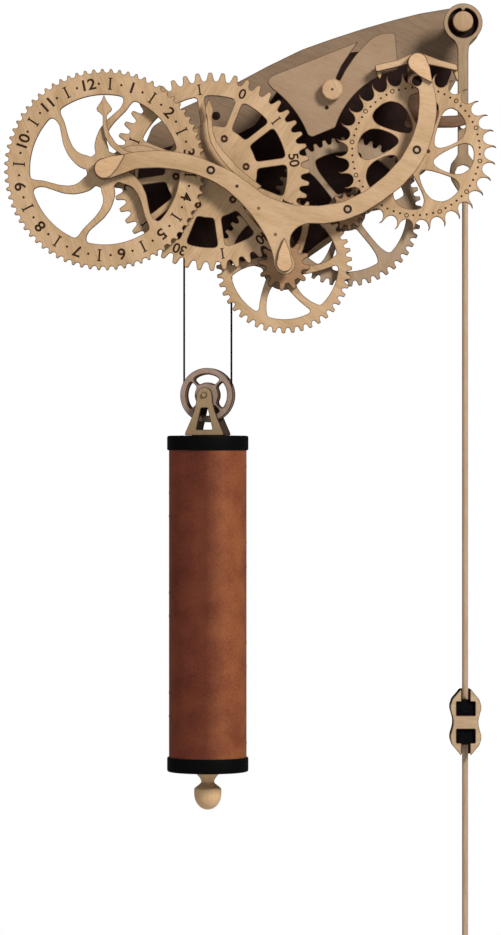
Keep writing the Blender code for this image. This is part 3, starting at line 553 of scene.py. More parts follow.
class Marks:
    """Burnt marks on one face, gathered into one piece that stands just proud of the wood."""

    def __init__(self, face_y):
        self.face_y = face_y
        self.points = []
        self.faces = []

    def add(self, outline_points, triangles):
        """Adds a flat shape as a thin solid: a front, a back and the sides of its border."""
        count = len(outline_points)
        start = len(self.points)
        self.points += [(x, self.face_y - BURN_DEPTH, z) for x, z in outline_points]
        self.points += [(x, self.face_y + BURN_DEPTH, z) for x, z in outline_points]
        border = {}
        for a, b, c in triangles:
            self.faces.append((start + a, start + b, start + c))
            self.faces.append((start + count + c, start + count + b, start + count + a))
            for edge in ((a, b), (b, c), (c, a)):
                key = tuple(sorted(edge))
                border[key] = None if key in border else edge
        for edge in border.values():
            if edge:
                a, b = edge
                self.faces.append((start + a, start + b, start + count + b, start + count + a))

    def shape(self, outline):
        self.add(outline, filled([outline]))

    def dot(self, centre, radius):
        self.shape(circle(radius, centre, 10))

    def ring(self, centre, outer, inner):
        loops = [circle(outer, centre, 14), circle(inner, centre, 14)]
        self.add(loops[0] + loops[1], filled(loops))

    def bar(self, clock, centre, inner, outer, width):
        """A bar along a radius, with a short serif across each end."""
        half_in = math.degrees(width / 2 / inner)
        half_out = math.degrees(width / 2 / outer)
        self.shape([at(clock - half_in, inner, centre), at(clock - half_out, outer, centre),
                    at(clock + half_out, outer, centre), at(clock + half_in, inner, centre)])
        for radius in (inner, outer):
            turn = math.degrees(width * 1.25 / radius)
            low, high = radius - width * 0.28, radius + width * 0.28
            self.shape([at(clock - turn, low, centre), at(clock - turn, high, centre),
                        at(clock + turn, high, centre), at(clock + turn, low, centre)])

    def numeral(self, body, clock, centre, radius, height, narrow=0.82):
        """A numeral with its top away from the wheel's middle."""
        points, triangles = text_mesh(body, height * 1.38)
        turn = math.radians(clock)
        cx, cz = at(clock, radius, centre)
        placed = [(cx + narrow * x * math.cos(turn) + y * math.sin(turn),
                   cz - narrow * x * math.sin(turn) + y * math.cos(turn)) for x, y in points]
        self.add(placed, triangles)

    def piece(self, name, body, slot):
        finish_piece(mesh_piece(name, self.points, self.faces, [BURN]), body, [])


# ==================================================================== train
def pale(name, grain, seed):
    return wood(name, PALE_LIGHT, PALE_DARK, grain, 0.55, 1.0, seed)


def tan(name, grain, seed):
    return wood(name, TAN_LIGHT, TAN_DARK, grain, 0.6, 1.0, seed)


def make_hour_wheel():
    outline = wheel_outline(2.2, 72, 6, HOUR_TOOTH, 81.4, 78.3, HOUR, 0.40)
    spoke = [(59.6, -4.0, 4.0), (56.0, -3.2, 2.8), (51.0, -4.5, 1.5), (45.0, -10.0, -2.1),
             (39.0, -18.0, -7.0), (32.5, -26.6, -12.4), (27.0, -33.6, -15.6), (22.0, -41.0, -14.6),
             (18.0, -46.0, -9.0)]
    loops = [outline] + windows(HOUR, 6, 18.6, spoke, 60.6, 14.8) + [bore(HOUR)]
    cut_plate("hour_wheel_plate", loops, "hour", ["hour_wheel"],
              pale("hour_wheel_wood", 20, 1))
    marks = Marks(layer("hour_wheel")[0])
    for hour in range(1, 13):
        clock = 348.6 + 30 * hour
        marks.numeral(str(hour), clock, HOUR, 69.2, 9.0, 1.12)
        marks.bar(clock + 15, HOUR, 65.0, 73.9, 1.35)
        for side in (-7.5, 7.5):
            marks.dot(at(clock + side, 69.4, HOUR), 1.0)
    marks.piece("hour_numerals", "hour", "pale_plywood")


def make_minute_wheel():
    outline = wheel_outline(3.2, 48, 12, MINUTE_TOOTH, 80.2, 73.3, MINUTE)
    spoke = straight_sides((60.0, 50.0, 38.6), (5.7, 5.7, 5.7))
    loops = [outline] + windows(MINUTE, 12, MINUTE_TOOTH, spoke, 61.6, 37.4)
    studs = [at(MINUTE_TOOTH + 60 * i, 28.7, MINUTE) for i in range(6)]
    loops += [circle(2.7, stud, 24) for stud in studs] + [bore(MINUTE)]
    cut_plate("minute_wheel_plate", loops, "minute", ["minute_wheel"],
              pale("minute_wheel_wood", -35, 2))
    marks = Marks(layer("minute_wheel")[0])
    for step, minute in enumerate((0, 50, 40, 30, 20, 10)):
        clock = MINUTE_TOOTH + 60 * step
        marks.numeral(str(minute), clock, MINUTE, 67.4, 8.2, 1.05)
        marks.bar(clock + 30, MINUTE, 63.0, 70.9, 1.2)
    for stud in studs:
        marks.ring(stud, 2.4, 1.3)
    marks.piece("minute_numerals", "minute", "pale_plywood")


def make_lower_wheel():
    outline = wheel_outline(2.36, 45, 12, LOWER_TOOTH, 55.2, 50.9, LOWER)
    spoke = straight_sides((42.0, 36.0, 29.0, 23.0, 17.5), (7.4, 6.2, 5.8, 6.4, 8.2), 17.0)
    loops = [outline] + windows(LOWER, 6, 24.6, spoke, 43.9, 14.9) + [bore(LOWER)]
    cut_plate("lower_wheel_plate", loops, "lower", ["lower_wheel"],
              pale("lower_wheel_wood", 60, 3))


def make_third_wheel():
    outline = wheel_outline(2.45, 48, 12, THIRD_TOOTH, 60.9, 56.4, THIRD)
    spoke = straight_sides((46.4, 42.0, 36.0, 27.0, 18.0), (9.6, 6.6, 5.2, 5.0, 5.4))
    loops = [outline] + windows(THIRD, 6, 21.0, spoke, 48.8, 15.6) + [bore(THIRD)]
    # Painted shade: the third wheel's wood is darker than the other wheels', as it lies deeper in
    # shade behind them.
    cut_plate("third_wheel_plate", loops, "third", ["third_wheel"],
              wood("third_wheel_shaded_wood", (0.44, 0.31, 0.20), (0.32, 0.215, 0.13), 10, 0.6, 1.0, 4))


def make_escape_wheel():
    gullet, tip = 55.3, 65.0
    left = [(0.0, -6.0), (0.02, -4.6), (0.10, -3.2), (0.22, -2.1), (0.38, -1.3), (0.55, -0.8),
            (0.72, -0.45), (0.88, 0.25), (1.0, 1.25)]
    right = [(1.0, 1.7), (0.88, 1.15), (0.72, 0.65), (0.55, 0.8), (0.38, 1.15), (0.22, 1.9),
             (0.10, 3.0), (0.02, 4.5)]
    outline = []
    for i in range(30):
        base = ESCAPE_TOOTH - 1.5 + 12 * i
        outline += [at(base + turn, gullet + (tip - gullet) * rise, ESCAPE)
                    for rise, turn in left + right]
    kidney = [(16.6, 32), (18.6, 37), (25.4, 36), (34.8, 31.6), (41.2, 26.4), (45.8, 18),
              (47.2, 10), (47.2, 0), (45.6, -6.5), (40.5, -9.8), (35.2, -9), (28.4, -5), (20.4, 5),
              (16.8, 18), (15.6, 27)]
    holes = [eased([at(turn - 45 * i, radius, ESCAPE) for radius, turn in kidney], 1.8, 0.8)
             for i in range(1, 9)]
    cut_plate("escape_wheel_plate", [outline] + holes + [bore(ESCAPE)], "escape",
              ["escape_wheel"], pale("escape_wheel_wood", -20, 5), chamfer=0.1)
    marks = Marks(layer("escape_wheel")[0])
    for i in range(60):
        clock = 8.5 + 6 * i
        if i % 5:
            marks.dot(at(clock, 51.7, ESCAPE), 0.9)
        else:
            marks.ring(at(clock, 52.3, ESCAPE), 1.9, 1.2)
    marks.piece("second_marks", "escape", "pale_plywood")


def make_pinions():
    first = meshing_tooth(HOUR, 72, HOUR_TOOTH, MINUTE, 6)
    outline = pinion_outline(2.2, 6, 72, first, 7.1, 4.0, MINUTE)
    cut_plate("hour_pinion_plate", [outline, bore(MINUTE)], "minute", ["hour_pinion"],
              tan("hour_pinion_wood", 0, 6))
    rows = (("lower", LOWER, 3.2, 48, MINUTE, MINUTE_TOOTH, 21.2, 15.2),
            ("third", THIRD, 2.36, 45, LOWER, LOWER_TOOTH, 15.8, 11.5),
            ("escape", ESCAPE, 2.45, 48, THIRD, THIRD_TOOTH, 16.4, 12.0))
    for seed, (body, centre, module, teeth, driver, tooth, tip, root) in enumerate(rows):
        first = meshing_tooth(driver, teeth, tooth, centre, 12)
        outline = pinion_outline(module, 12, teeth, first, tip, root, centre)
        cut_plate(body + "_pinion_plate", [outline, bore(centre)], body, [body + "_pinion"],
                  tan(body + "_pinion_wood", 70, 7 + seed))


# ==================================================================== frame
EYELET = (166.1, 71.9)


def make_front_frame():
    outline = arc(HOUR, 9.0, 150, 380, 12)
    outline += [(-69, 13.4), (-60, 15), (-42, 16.2), (-26, 14.8), (-9, 10.6), (1.5, 6), (16.5, -0.5),
                (31.5, -10.8), (43.5, -20), (55.5, -25), (68, -28), (87, -28.7), (106, -25.8),
                (125.5, -16.2), (141, -3.9), (153.8, 10.2), (161.6, 24.4), (166.7, 39.7),
                (168, 55.1), (167.6, 65)]
    outline += arc(EYELET, 5.4, 165, 360, 9)
    outline += arc(PALLET, 8.6, 210, 480, 12)
    outline += [(179, 71), (182, 57.7), (182.2, 45), (179.5, 29.4), (174.4, 14), (166.7, 1),
                (154, -13), (138.5, -24.7), (123, -34.6), (107.5, -40.6), (92, -43.2), (78, -42.8),
                (70, -45.7), (64.8, -51.5), (63.6, -58)]
    outline += arc(LOWER, 9.0, 42, 290, 12)
    outline += [(48.9, -64.8), (44.6, -54), (39.2, -45.2), (31.6, -34.6), (23, -25), (12.2, -15.4),
                (1.4, -8.8), (-11.5, -3.4), (-26.7, 0.4), (-42, 2), (-60, 1.2)]
    loops = [eased(outline, 2.0, 1.2), circle(4.0, EYELET, 32)]
    loops += [circle(3.1, centre, 32) for centre in (HOUR, MINUTE, LOWER, THIRD, ESCAPE, PALLET)]
    cut_plate("front_frame_plate", loops, "frame", ["front_frame"],
              pale("front_frame_wood", 75, 11))
    face = layer("front_frame")[0]
    plug = wood("plug_wood", (0.36, 0.17, 0.085), (0.26, 0.11, 0.05), 0, 0.6, 0.6, 44)
    for number, spot in enumerate(((21.1, -12.9), (38.6, -30.8), (52.1, -51.9), (175.4, 15.3)), 1):
        pin(f"frame_plug_{number}", spot, 1.6, (face - 0.1, face + 3), "frame", [],
            plug if number in (2, 3) else CHAR, 20)
    # Painted shade: a near-black disc inside the eyelet, so that the hole looks dark.
    pin("frame_eyelet_shade_disc", EYELET, 3.9, (face + 1.2, face + 5.8), "frame", [],
        SHADE, 32)
    for centre, name in ((MINUTE, "minute"), (THIRD, "third"), (ESCAPE, "escape")):
        marks = [circle(3.5, centre, 28), circle(1.9, centre, 28)]
        cut_plate(f"{name}_scorched_ring", marks, "frame", [], DARK_CHAR_AND_SHADE,
                  DARK_CHAR_AND_SHADE, (face - 0.12, face + 0.25), 0.05)


def teardrop(name, centre, radius, tip, replaced, seed):
    """A cap that is round about its arbor and runs out to a tip."""
    bearing = math.degrees(math.atan2(tip[0] - centre[0], tip[1] - centre[1]))
    outline = arc(centre, radius, bearing + 66, bearing + 294, 24)
    for share, width in ((0.45, -0.72), (0.75, -0.34), (1.0, 0.0), (0.75, 0.34), (0.45, 0.72)):
        along = Vector(centre).lerp(Vector(tip), share)
        outline.append(tuple(along + Vector(at(bearing + 90, radius * width))))
    cut_plate(name, [eased(outline, 0.6, 0.6)], "frame", [replaced],
              wood(name + "_wood", (0.76, 0.51, 0.31), (0.62, 0.39, 0.21), 80, 0.5, 0.7, seed),
              chamfer=0.35)


def make_upper_plate():
    outline = [(45.6, 73), (47.5, 77), (51, 79)]
    outline += [(119.6, 106.2), (112.8, 96.6), (105.8, 86.3), (101.2, 76), (104.4, 74),
                (109, 83), (116.5, 94), (125.5, 104.5), (131, 109.4), (139, 112.8), (149.3, 113.2),
                (150.6, 100)]
    outline += arc(ESCAPE, 68.3, -12, -73, 12)
    outline += [(82, 28.6), (78.5, 30.2)]
    outline += arc(MINUTE, 84.2, 67.4, 36, 8)
    loops = [eased(outline, 0.8, 0.6), circle(3.3, place("hanging_peg"), 28)]
    cut_plate("upper_plate_sheet", loops, "frame", ["upper_plate"],
              wood("upper_plate_wood", (0.41, 0.28, 0.175), (0.33, 0.21, 0.125), 68, 0.6, 0.8, 12))
    face = layer("upper_plate")[0]
    pin("upper_plate_screw", (93.9, 52.4), 1.7, (face - 0.3, face + 3), "frame", [],
        BURN, 20)


def make_back_plate():
    outline = arc(HOUR, 8.5, 175, 375, 10)
    outline += [(-72, 16), (-58, 22), (-53, 34), (-49.6, 43), (-25.6, 58), (-12.3, 64),
                (24, 81.2), (45.7, 92.8), (74.7, 106.9), (100.4, 116), (126, 124.3), (149.3, 131),
                (172.5, 136.8), (195, 140.6)]
    outline += arc(DOWEL, 16.5, 5, 130, 10)
    outline += [(211, 108), (208, 97), (204, 84), (195, 68), (184, 40)]
    outline += arc(ESCAPE, 15.0, 80, 170, 6)
    outline += [(150, -9), (128, -28), (108, -45.6), (92, -57), (79, -66)]
    outline += arc(LOWER, 17.0, 80, 275, 12)
    outline += [(31.6, -71.3), (12, -70), (-6, -66.3), (-39, -51.4), (-60, -31), (-66, -14),
                (-70, 3)]
    smooth = eased(outline, 2.0, 1.5)
    screws = [circle(2.3, spot, 20) for spot in ((20.0, 66.0), (135.0, 100.0), (88.0, -36.0))]
    cut_plate("back_plate_sheet", [smooth, bore(PALLET)] + screws, "frame", ["back_plate"],
              wood("back_plate_wood", (0.31, 0.21, 0.13), (0.22, 0.14, 0.085), 66,
                                   0.6, 0.8, 13))
    front = layer("back_plate")[0]
    # Painted shade: a thin near-black sheet in front of the back plate, where the wheels leave it in
    # deep shade.
    shade_outline = [(-50, 22), (-20, 31), (20, 36), (36, 44), (50, 66), (62, 84), (82, 95), (104, 103),
               (128, 106), (150, 99), (158, 95), (176, 94), (200, 91), (194, 76), (182, 42), (176, 20),
               (166, 6), (148, -6), (126, -25), (106, -42), (88, -54), (74, -66), (58, -80),
               (44, -72), (12, -66), (-6, -62), (-36, -47), (-56, -28), (-62, -8), (-60, 14)]
    cut_plate("painted_shade_sheet", [eased(shade_outline, 3.0, 2.0)], "frame", [], SHADE,
              SHADE, (front - 0.9, front - 0.25), 0.1)
    # Painted shade: a near-black disc on the back plate, standing for a hole that looks dark.
    pin("back_plate_shade_disc", (3.4, 51.9), 3.7, (front - 0.2, front + 2), "frame", [],
        SHADE, 28)


def make_pointers():
    hour = [(-58, 7), (-70, 11.6), (-75.5, 15.2), (-81.4, 20.2), (-85.8, 27.8), (-87.4, 36),
            (-87.4, 44.6), (-89.8, 46.9), (-91.9, 48.3), (-92.5, 50.4), (-90.8, 53), (-88.4, 56.4),
            (-86.4, 61.4), (-84.2, 56.4), (-81.6, 53), (-79.8, 50.4), (-80.3, 48.3), (-82.2, 46.9),
            (-84.1, 44.6), (-84.0, 37), (-81.8, 30), (-76.8, 22.4), (-67.9, 15.9), (-54, 13.5)]
    minute = [(34.5, -17), (24.3, -6.9), (15.5, 1.0), (8.2, 9.4), (3.6, 15.8), (-0.7, 24),
              (-2.5, 32.6), (-3.2, 44), (-4.5, 47.4), (-4.7, 50.2), (-3.4, 54), (-1.6, 58.5),
              (0.2, 54), (1.8, 50.2), (1.8, 47.4), (0.9, 44), (1.6, 32.6), (4.2, 24.6),
              (9.8, 16.5), (15.5, 10), (22.7, 2), (31.6, -5.3), (41.3, -12.6)]
    cut_plate("hour_pointer_plate", [eased(hour, 0.6, 0.4)], "frame", ["hour_pointer"],
              pale("hour_pointer_wood", 10, 14))
    cut_plate("minute_pointer_plate", [eased(minute, 0.6, 0.4)], "frame", ["minute_pointer"],
              pale("minute_pointer_wood", 10, 15))


def arbor_dowel(node, radius=ARBOR_RADIUS, body="frame", ending="_dowel"):
    pin(node + ending, place(node), radius, layer(node), body, [node], DOWEL_WOOD)


def make_frame_dowels():
    for name in ("hour", "minute", "lower", "third", "escape"):
        arbor_dowel(name + "_arbor")
    arbor_dowel("pallet_arbor", body="anchor")
    arbor_dowel("cord_peg", 2.5, ending="_round")
    pin("pendulum_dowel_round", DOWEL, KNIFE_RADIUS, layer("pendulum_dowel"), "frame",
        ["pendulum_dowel"],
        wood("pendulum_dowel_wood", (0.50, 0.33, 0.19), (0.36, 0.22, 0.12), 0, 0.55, 0.8, 16), 48)
    hanger_back = layer("pendulum_hanger")[1]
    # Painted shade: a near-black ring behind the hanger, so its hole round the dowel looks dark.
    cut_plate("pendulum_dowel_shade_ring", [circle(13.2, DOWEL, 48), circle(8.5, DOWEL, 48)], "frame",
              [], SHADE, SHADE, (hanger_back + 0.6, hanger_back + 3.0))


def make_hanging_peg():
    centre = place("hanging_peg")
    front, back = layer("hanging_peg")
    turned = wood("peg_wood", (0.66, 0.45, 0.28), (0.53, 0.34, 0.19), 30, 0.5, 0.7, 17)
    cut_plate("hanging_peg_head", [eased(circle(8.7, centre, 10), 0.4, 0.4)], "frame",
              ["hanging_peg"], turned, turned, (front, front + 8.0), 0.6)
    pin("hanging_peg_shank", centre, 3.0, (front + 7.0, back), "frame", ["hanging_peg"],
        DOWEL_WOOD)
    pin("hanging_peg_end", centre, 1.2, (front - 0.15, front + 2), "frame", [],
        CHAR, 20)
    pin("upper_plate_post_round", place("upper_plate_post"), 3.0,
        (layer("upper_plate")[1], layer("upper_plate_post")[1]), "frame", ["upper_plate_post"],
        DOWEL_WOOD)


# ==================================================================== anchor and pendulum
def make_anchor():
    outline = [(132.5, 85.5), (151, 89.8), (161.5, 94.6), (167, 95.4), (172, 94.6), (185, 89.8),
               (199, 86), (199.6, 81), (185, 84.3), (174.6, 86.4), (172.4, 82), (166.6, 79.8),
               (160.8, 82), (158.6, 86.4), (151, 84.3), (133.6, 80.2)]
    cut_plate("anchor_plate", [eased(outline, 0.7, 0.5), bore(PALLET)], "anchor",
              ["anchor"], pale("anchor_wood", 80, 18))
    entry = [(132.5, 84.6), (137.8, 84.6), (138.4, 79), (137.2, 75.0), (136.2, 75.2), (134.4, 78)]
    leave = [(194.6, 84.4), (199.2, 84.4), (200.6, 79), (200.4, 73.4), (199.2, 73.2), (197.2, 78.6)]
    for name, outline in (("entry_pallet", entry), ("exit_pallet", leave)):
        cut_plate(name + "_plate", [eased(outline, 0.3, 0.3)], "anchor", [name],
                  pale(name + "_wood", 0, 19))
    outline = arc(PALLET, 7.0, -65, 115, 10)
    outline += [(170.8, 70), (170.4, 47.2), (200, 48.2)]
    outline += arc(CRUTCH_PIN, 4.6, 20, 160, 8)
    outline += [(199, 38.6), (160, 38.2), (157.5, 41), (159, 47), (160.6, 70)]
    front, back = layer("crutch")
    # Painted shade: the crutch's wood is made dark, as it sits in deep shade behind the escape wheel.
    cut_plate("crutch_plate", [eased(outline, 0.9, 0.6), bore(PALLET)], "anchor",
              ["crutch"],
              wood("crutch_shaded_wood", (0.26, 0.14, 0.08), (0.17, 0.09, 0.05), 85, 0.6, 0.8, 20),
              depth=(front, front + 5.0))
    pin("crutch_pin_dowel", CRUTCH_PIN, 2.0, (front + 2.5, back), "anchor", ["crutch"],
        DOWEL_WOOD)


HANGER_TOP = DOWEL[1] + KNIFE_RADIUS   # height of the knife's edge on its dowel


def make_hanger():
    x = DOWEL[0]
    ring = (x, HANGER_TOP - 9.6)
    outline = arc(ring, 15.95, -145, 145, 44)
    outline += [(x + 7.4, 110.6), (x + 5.7, 108.0), (x + 4.7, 104.5), (x + 4.3, 100), (x + 4.3, 60),
                (x + 4.3, 17), (x + 7, 13.5), (x + 10.4, 9.5), (x + 12, 3), (x + 10.6, -4),
                (x + 7, -10), (x + 4, -14.5), (x + 3, -17), (x - 2, -17), (x - 3, -14.5),
                (x - 6, -10), (x - 9.6, -4), (x - 11, 3), (x - 9.8, 9.5), (x - 6.5, 13.5),
                (x - 4.3, 17), (x - 4.3, 60), (x - 4.3, 100), (x - 4.7, 104.5), (x - 5.7, 108.0),
                (x - 7.4, 110.6)]
    outline = eased(outline, 0.9, 0.7)
    top = ring[1] + 12.4
    knife = [(x - 2.2, top - 0.3), (x - 0.5, HANGER_TOP + 0.3), (x + 0.5, HANGER_TOP + 0.3),
             (x + 2.2, top - 0.3)]
    hole = arc(ring, 12.4, 15, 345, 40) + knife
    slot = arc((x, CRUTCH_PIN[1] + 4.6), 2.4, -90, 90, 10)
    slot += arc((x, CRUTCH_PIN[1] - 4.6), 2.4, 90, 270, 10)
    window = [(x - 6.8, 2), (x - 4.5, 7), (x, 8.6), (x + 4.5, 7), (x + 6.8, 2), (x + 4.5, -4),
              (x + 2, -6.5), (x - 2, -6.5), (x - 4.5, -4)]
    cut_plate("pendulum_hanger_plate", [outline, hole, slot, eased(window, 0.6, 0.5)], "pendulum",
              ["pendulum_hanger"],
              wood("hanger_wood", (0.44, 0.31, 0.19), (0.34, 0.225, 0.13), 0, 0.55, 0.8, 21))
    marks = Marks(layer("pendulum_hanger")[0])
    marks.shape(circle(1.2, (x - 3.6, -5.2), 14))
    marks.piece("hanger_mark", "pendulum", "tan_plywood")


def make_rod():
    low, high = span("pendulum_rod")
    x = place("pendulum_rod")[0]
    y = sum(layer("pendulum_rod")) / 2
    profile = [(1.9, high), (2.5, high - 0.8)]
    profile += [(2.5, high - 0.8 - (high - low - 1.6) * i / 12) for i in range(1, 13)]
    profile.append((1.9, low))
    turned_piece("pendulum_rod_round", profile, x, y, "pendulum", ["pendulum_rod"],
                 DOWEL_WOOD, 28)


BOB = place("bob_back")
BOB_QUARTER = [(7.6, 22.8), (10.9, 19.0), (12.6, 14.0), (12.6, 10.5), (11.1, 5.5), (10.3, 2.0)]
BOB_TOP = (4.4, 26.8)


def about_bob(quarter, side=1):
    """A quarter's points, mirrored down, on the right or left of the bob's centre."""
    upper = [(BOB[0] + side * dx, BOB[1] + dz) for dx, dz in quarter]
    return upper + [(x, 2 * BOB[1] - z) for x, z in reversed(upper)]


def make_bob():
    window = [(7.8, 5.4), (7.8, 17.0), (3.6, 17.0), (3.6, BOB_TOP[1])]
    right = about_bob(window + [BOB_TOP] + BOB_QUARTER)
    front = right + [(2 * BOB[0] - x, z) for x, z in reversed(right)]
    cut_plate("bob_front_plate", [eased(front, 0.45, 0.4)], "pendulum", ["bob_front"],
              wood("bob_front_wood", (0.62, 0.46, 0.31), (0.46, 0.32, 0.19), 90,
                                   0.55, 0.8, 22))
    right = about_bob([BOB_TOP] + BOB_QUARTER)
    back = right + [(2 * BOB[0] - x, z) for x, z in reversed(right)]
    # Painted shade: the bob's back plate and its cheeks are near-black, so the slot round the rod
    # looks dark.
    cut_plate("bob_back_plate", [eased(back, 0.6, 0.5)], "pendulum", ["bob_back"],
              SHADE, DARK_CHAR_AND_SHADE)
    cheek = [(8.6, 20.5)] + [(dx - 0.4, dz) for dx, dz in BOB_QUARTER[1:]]
    for name, side in (("bob_left_cheek", -1), ("bob_right_cheek", 1)):
        outline = about_bob(cheek, side) + [(BOB[0] + side * 8.6, BOB[1])]
        cut_plate(name + "_block", [outline], "pendulum", [name], DARK_CHAR_AND_SHADE,
                  DARK_CHAR_AND_SHADE, chamfer=0.1)
    for name in ("bob_upper_weight", "bob_lower_weight"):
        low, high = span(name)
        box = [(BOB[0] - 8.2, low), (BOB[0] - 8.2, high), (BOB[0] + 8.2, high),
               (BOB[0] + 8.2, low)]
        cut_plate(name + "_block", [eased(box, 0.5, 0.5)], "pendulum", [name],
                  BLACK_METAL, BLACK_METAL, chamfer=0.5)


# ==================================================================== weight
PULLEY = ((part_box("pulley")[0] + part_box("pulley")[1]) / 2) / MM
PULLEY_YAW = math.radians(-14.0)


def yawed(points):
    """Turns points built about the origin to the pulley's place and yaw."""
    cos, sin = math.cos(PULLEY_YAW), math.sin(PULLEY_YAW)
    return [(PULLEY[0] + x * cos - y * sin, PULLEY[1] + x * sin + y * cos, PULLEY[2] + z)
            for x, y, z in points]


def make_pulley():
    rim = wood("pulley_wood", (0.43, 0.31, 0.25), (0.32, 0.22, 0.17), 40, 0.5, 0.8, 24)
    web = tan("pulley_web_wood", 40, 25)
    hub = circle(BORE_RADIUS, sides=24)
    web_spoke = straight_sides((16.0, 13.0, 11.4), (2.4, 2.2, 2.4))
    cheek_spoke = straight_sides((16.8, 13.0, 11.0), (1.9, 1.7, 1.9))
    web_loops = [circle(18.9, sides=64), hub] + windows((0, 0), 4, 45.0, web_spoke, 16.9, 10.6)
    cheek_loops = [circle(22.3, sides=72), hub] + windows((0, 0), 4, 45.0, cheek_spoke, 17.7, 10.1)
    for name, loops, depth, sheet in (("pulley_web_plate", web_loops, (-2.4, 2.4), web),
                                      ("pulley_front_cheek", cheek_loops, (-4.5, -2.5), rim),
                                      ("pulley_back_cheek", cheek_loops, (2.5, 4.5), rim)):
        cut_plate(name, loops, "pulley", ["pulley"], sheet, DARK_CHAR_AND_SHADE, depth,
                  placed=yawed)


def make_brackets():
    foot = -33.0
    outline = arc((0, 0), 6.4, -80, 80, 14)
    outline += [(7.0, -6.5), (8.8, -13.4), (11.0, -19.3), (16.4, foot + 1.5), (16.4, foot),
                (-16.4, foot), (-16.4, foot + 1.5), (-11.0, -19.3), (-8.8, -13.4), (-7.0, -6.5)]
    window = [(-2.8, -10.5), (2.8, -10.5), (6.9, -28.4), (-6.9, -28.4)]
    loops = [eased(outline, 0.7, 0.5), eased(window, 0.6, 0.5)]
    light = wood("bracket_wood", (0.43, 0.31, 0.17), (0.32, 0.21, 0.11), 0, 0.5, 0.8, 26)
    # Painted shade: the back bracket's wood is near-black, as it stands in shadow behind the front
    # bracket.
    shaded_back = wood("bracket_back_shaded_wood", (0.10, 0.065, 0.04), (0.06, 0.04, 0.025), 0, 0.6, 0.8, 28)
    for name, depth, sheet in (("bracket_back", (8.5, 11.5), shaded_back),
                               ("bracket_front", (-11.5, -8.5), light)):
        cut_plate(name + "_plate", loops, "weight", [name], sheet, DARK_CHAR_AND_SHADE,
                  depth, placed=yawed)
    cut_plate("pulley_axle_dowel", [circle(ARBOR_RADIUS, sides=24)], "weight", ["pulley_axle"],
              light, CHAR, (-13.0, 13.0), 0.4, yawed)


def kraft_material():
    """Wound kraft board: red-brown with soft blotches, and a painted shade band down the left of its
    front.
    """
    finish = Finish("kraft_board", 0.2)
    blotches = finish.scaled(finish.noise(finish.spot, 45.0, 6.0), 0.6)
    mottle = finish.scaled(finish.noise(finish.spot, 700.0, 4.0), 0.4, blotches)
    board = finish.ramp(mottle, (0.38, (0.18, 0.045, 0.018)), (0.62, (0.29, 0.095, 0.034)))
    middle = place("weight_tube")[0] * MM
    across = finish.add("ShaderNodeMapRange", {"Value": finish.axis("X"),
                                               "From Min": middle - 0.032,
                                               "From Max": middle + 0.032})
    # Painted shade: darkest left of the middle across the tube and full colour on the right, as if lit
    # from the right.
    shade_band = finish.ramp(across.outputs["Result"], (0.0, (0.92, 0.66, 0.72)),
                        (0.28, (0.58, 0.42, 0.50)), (0.48, (0.52, 0.40, 0.47)), (0.70, WHITE))
    finish.colour(finish.times(board, shade_band))
    finish.even_roughness(0.6)
    finish.bump(mottle, 0.35, 0.0003)
    return finish.material


TUBE_RADIUS = 31.85
LAP_RISE = 82.0       # climb of the paper's winding in one turn
LAP_STEPS = 72        # of that turn
LAP_MARGIN = 13.0     # between a lap's ends and the tube's


def make_tube_laps(x, y, low, high, paper):
    """The raised edges of the two papers wound round the tube, as thin strips."""
    section = ((-0.15, 0.0), (0.17, 0.15), (0.17, 0.9), (-0.15, 1.1))
    steps = int((high - low - 2 * LAP_MARGIN) / LAP_RISE * LAP_STEPS)
    for number, start in enumerate((38.0, 122.0), 1):
        rings = []
        for i in range(steps + 1):
            z = low + LAP_MARGIN + LAP_RISE * i / LAP_STEPS
            px, py = at(start - 360 * i / LAP_STEPS, 1.0)
            rings.append([(x + px * (TUBE_RADIUS + out), y + py * (TUBE_RADIUS + out), z + rise)
                          for out, rise in section])
        strip = mesh_piece(f"weight_tube_lap_{number}", *lofted(rings), [paper])
        finish_piece(strip, "weight", [])


def make_weight():
    x = place("weight_tube")[0]
    y = sum(layer("weight_tube")) / 2
    low, high = span("weight_tube")
    kraft = kraft_material()
    bands = 40
    profile = [(TUBE_RADIUS, high - (high - low) * i / bands) for i in range(bands + 1)]
    profile += [(29.8, low), (29.8, high)]
    turned_piece("weight_tube_wall", profile, x, y, "weight", ["weight_tube"], kraft,
                 96, True)
    make_tube_laps(x, y, low, high, kraft)
    radius = 33.4
    for name, sign in (("weight_top_cap", 1), ("weight_bottom_cap", -1)):
        outer, lip = span(name)[::-sign]
        profile = [(radius - 1.6, outer), (radius - 0.6, outer - sign * 0.3),
                   (radius - 0.1, outer - sign * 1.0), (radius, outer - sign * 1.8),
                   (radius, lip + sign * 1.2), (radius - 0.2, lip + sign * 0.4),
                   (radius - 0.8, lip), (32.2, lip + sign * 0.2), (32.15, outer - sign * 2.4)]
        turned_piece(name + "_moulding", profile, x, y, "weight", [name],
                     BLACK_PLASTIC, 96)
    top = span("finial")[1]
    curve = [(9.4, 0), (9.6, -0.7), (9.3, -1.6), (8.2, -3.0), (6.7, -4.7), (5.6, -6.6), (5.3, -8.2),
             (5.8, -9.2), (7.3, -10.5), (9.2, -12.0), (10.7, -13.2), (11.1, -13.9), (11.2, -15.0),
             (11.2, -17.5), (11.0, -20.0), (10.5, -22.4), (9.5, -24.8), (8.1, -27.0), (6.2, -28.9),
             (4.0, -30.2), (1.6, -30.9)]
    profile = [(radius, top + drop) for radius, drop in curve]
    turned_piece("finial_turning", profile, x, y, "weight", ["finial"],
                 wood("finial_wood", (0.80, 0.53, 0.30), (0.66, 0.42, 0.22), 0, 0.42, 0.6, 27), 64)


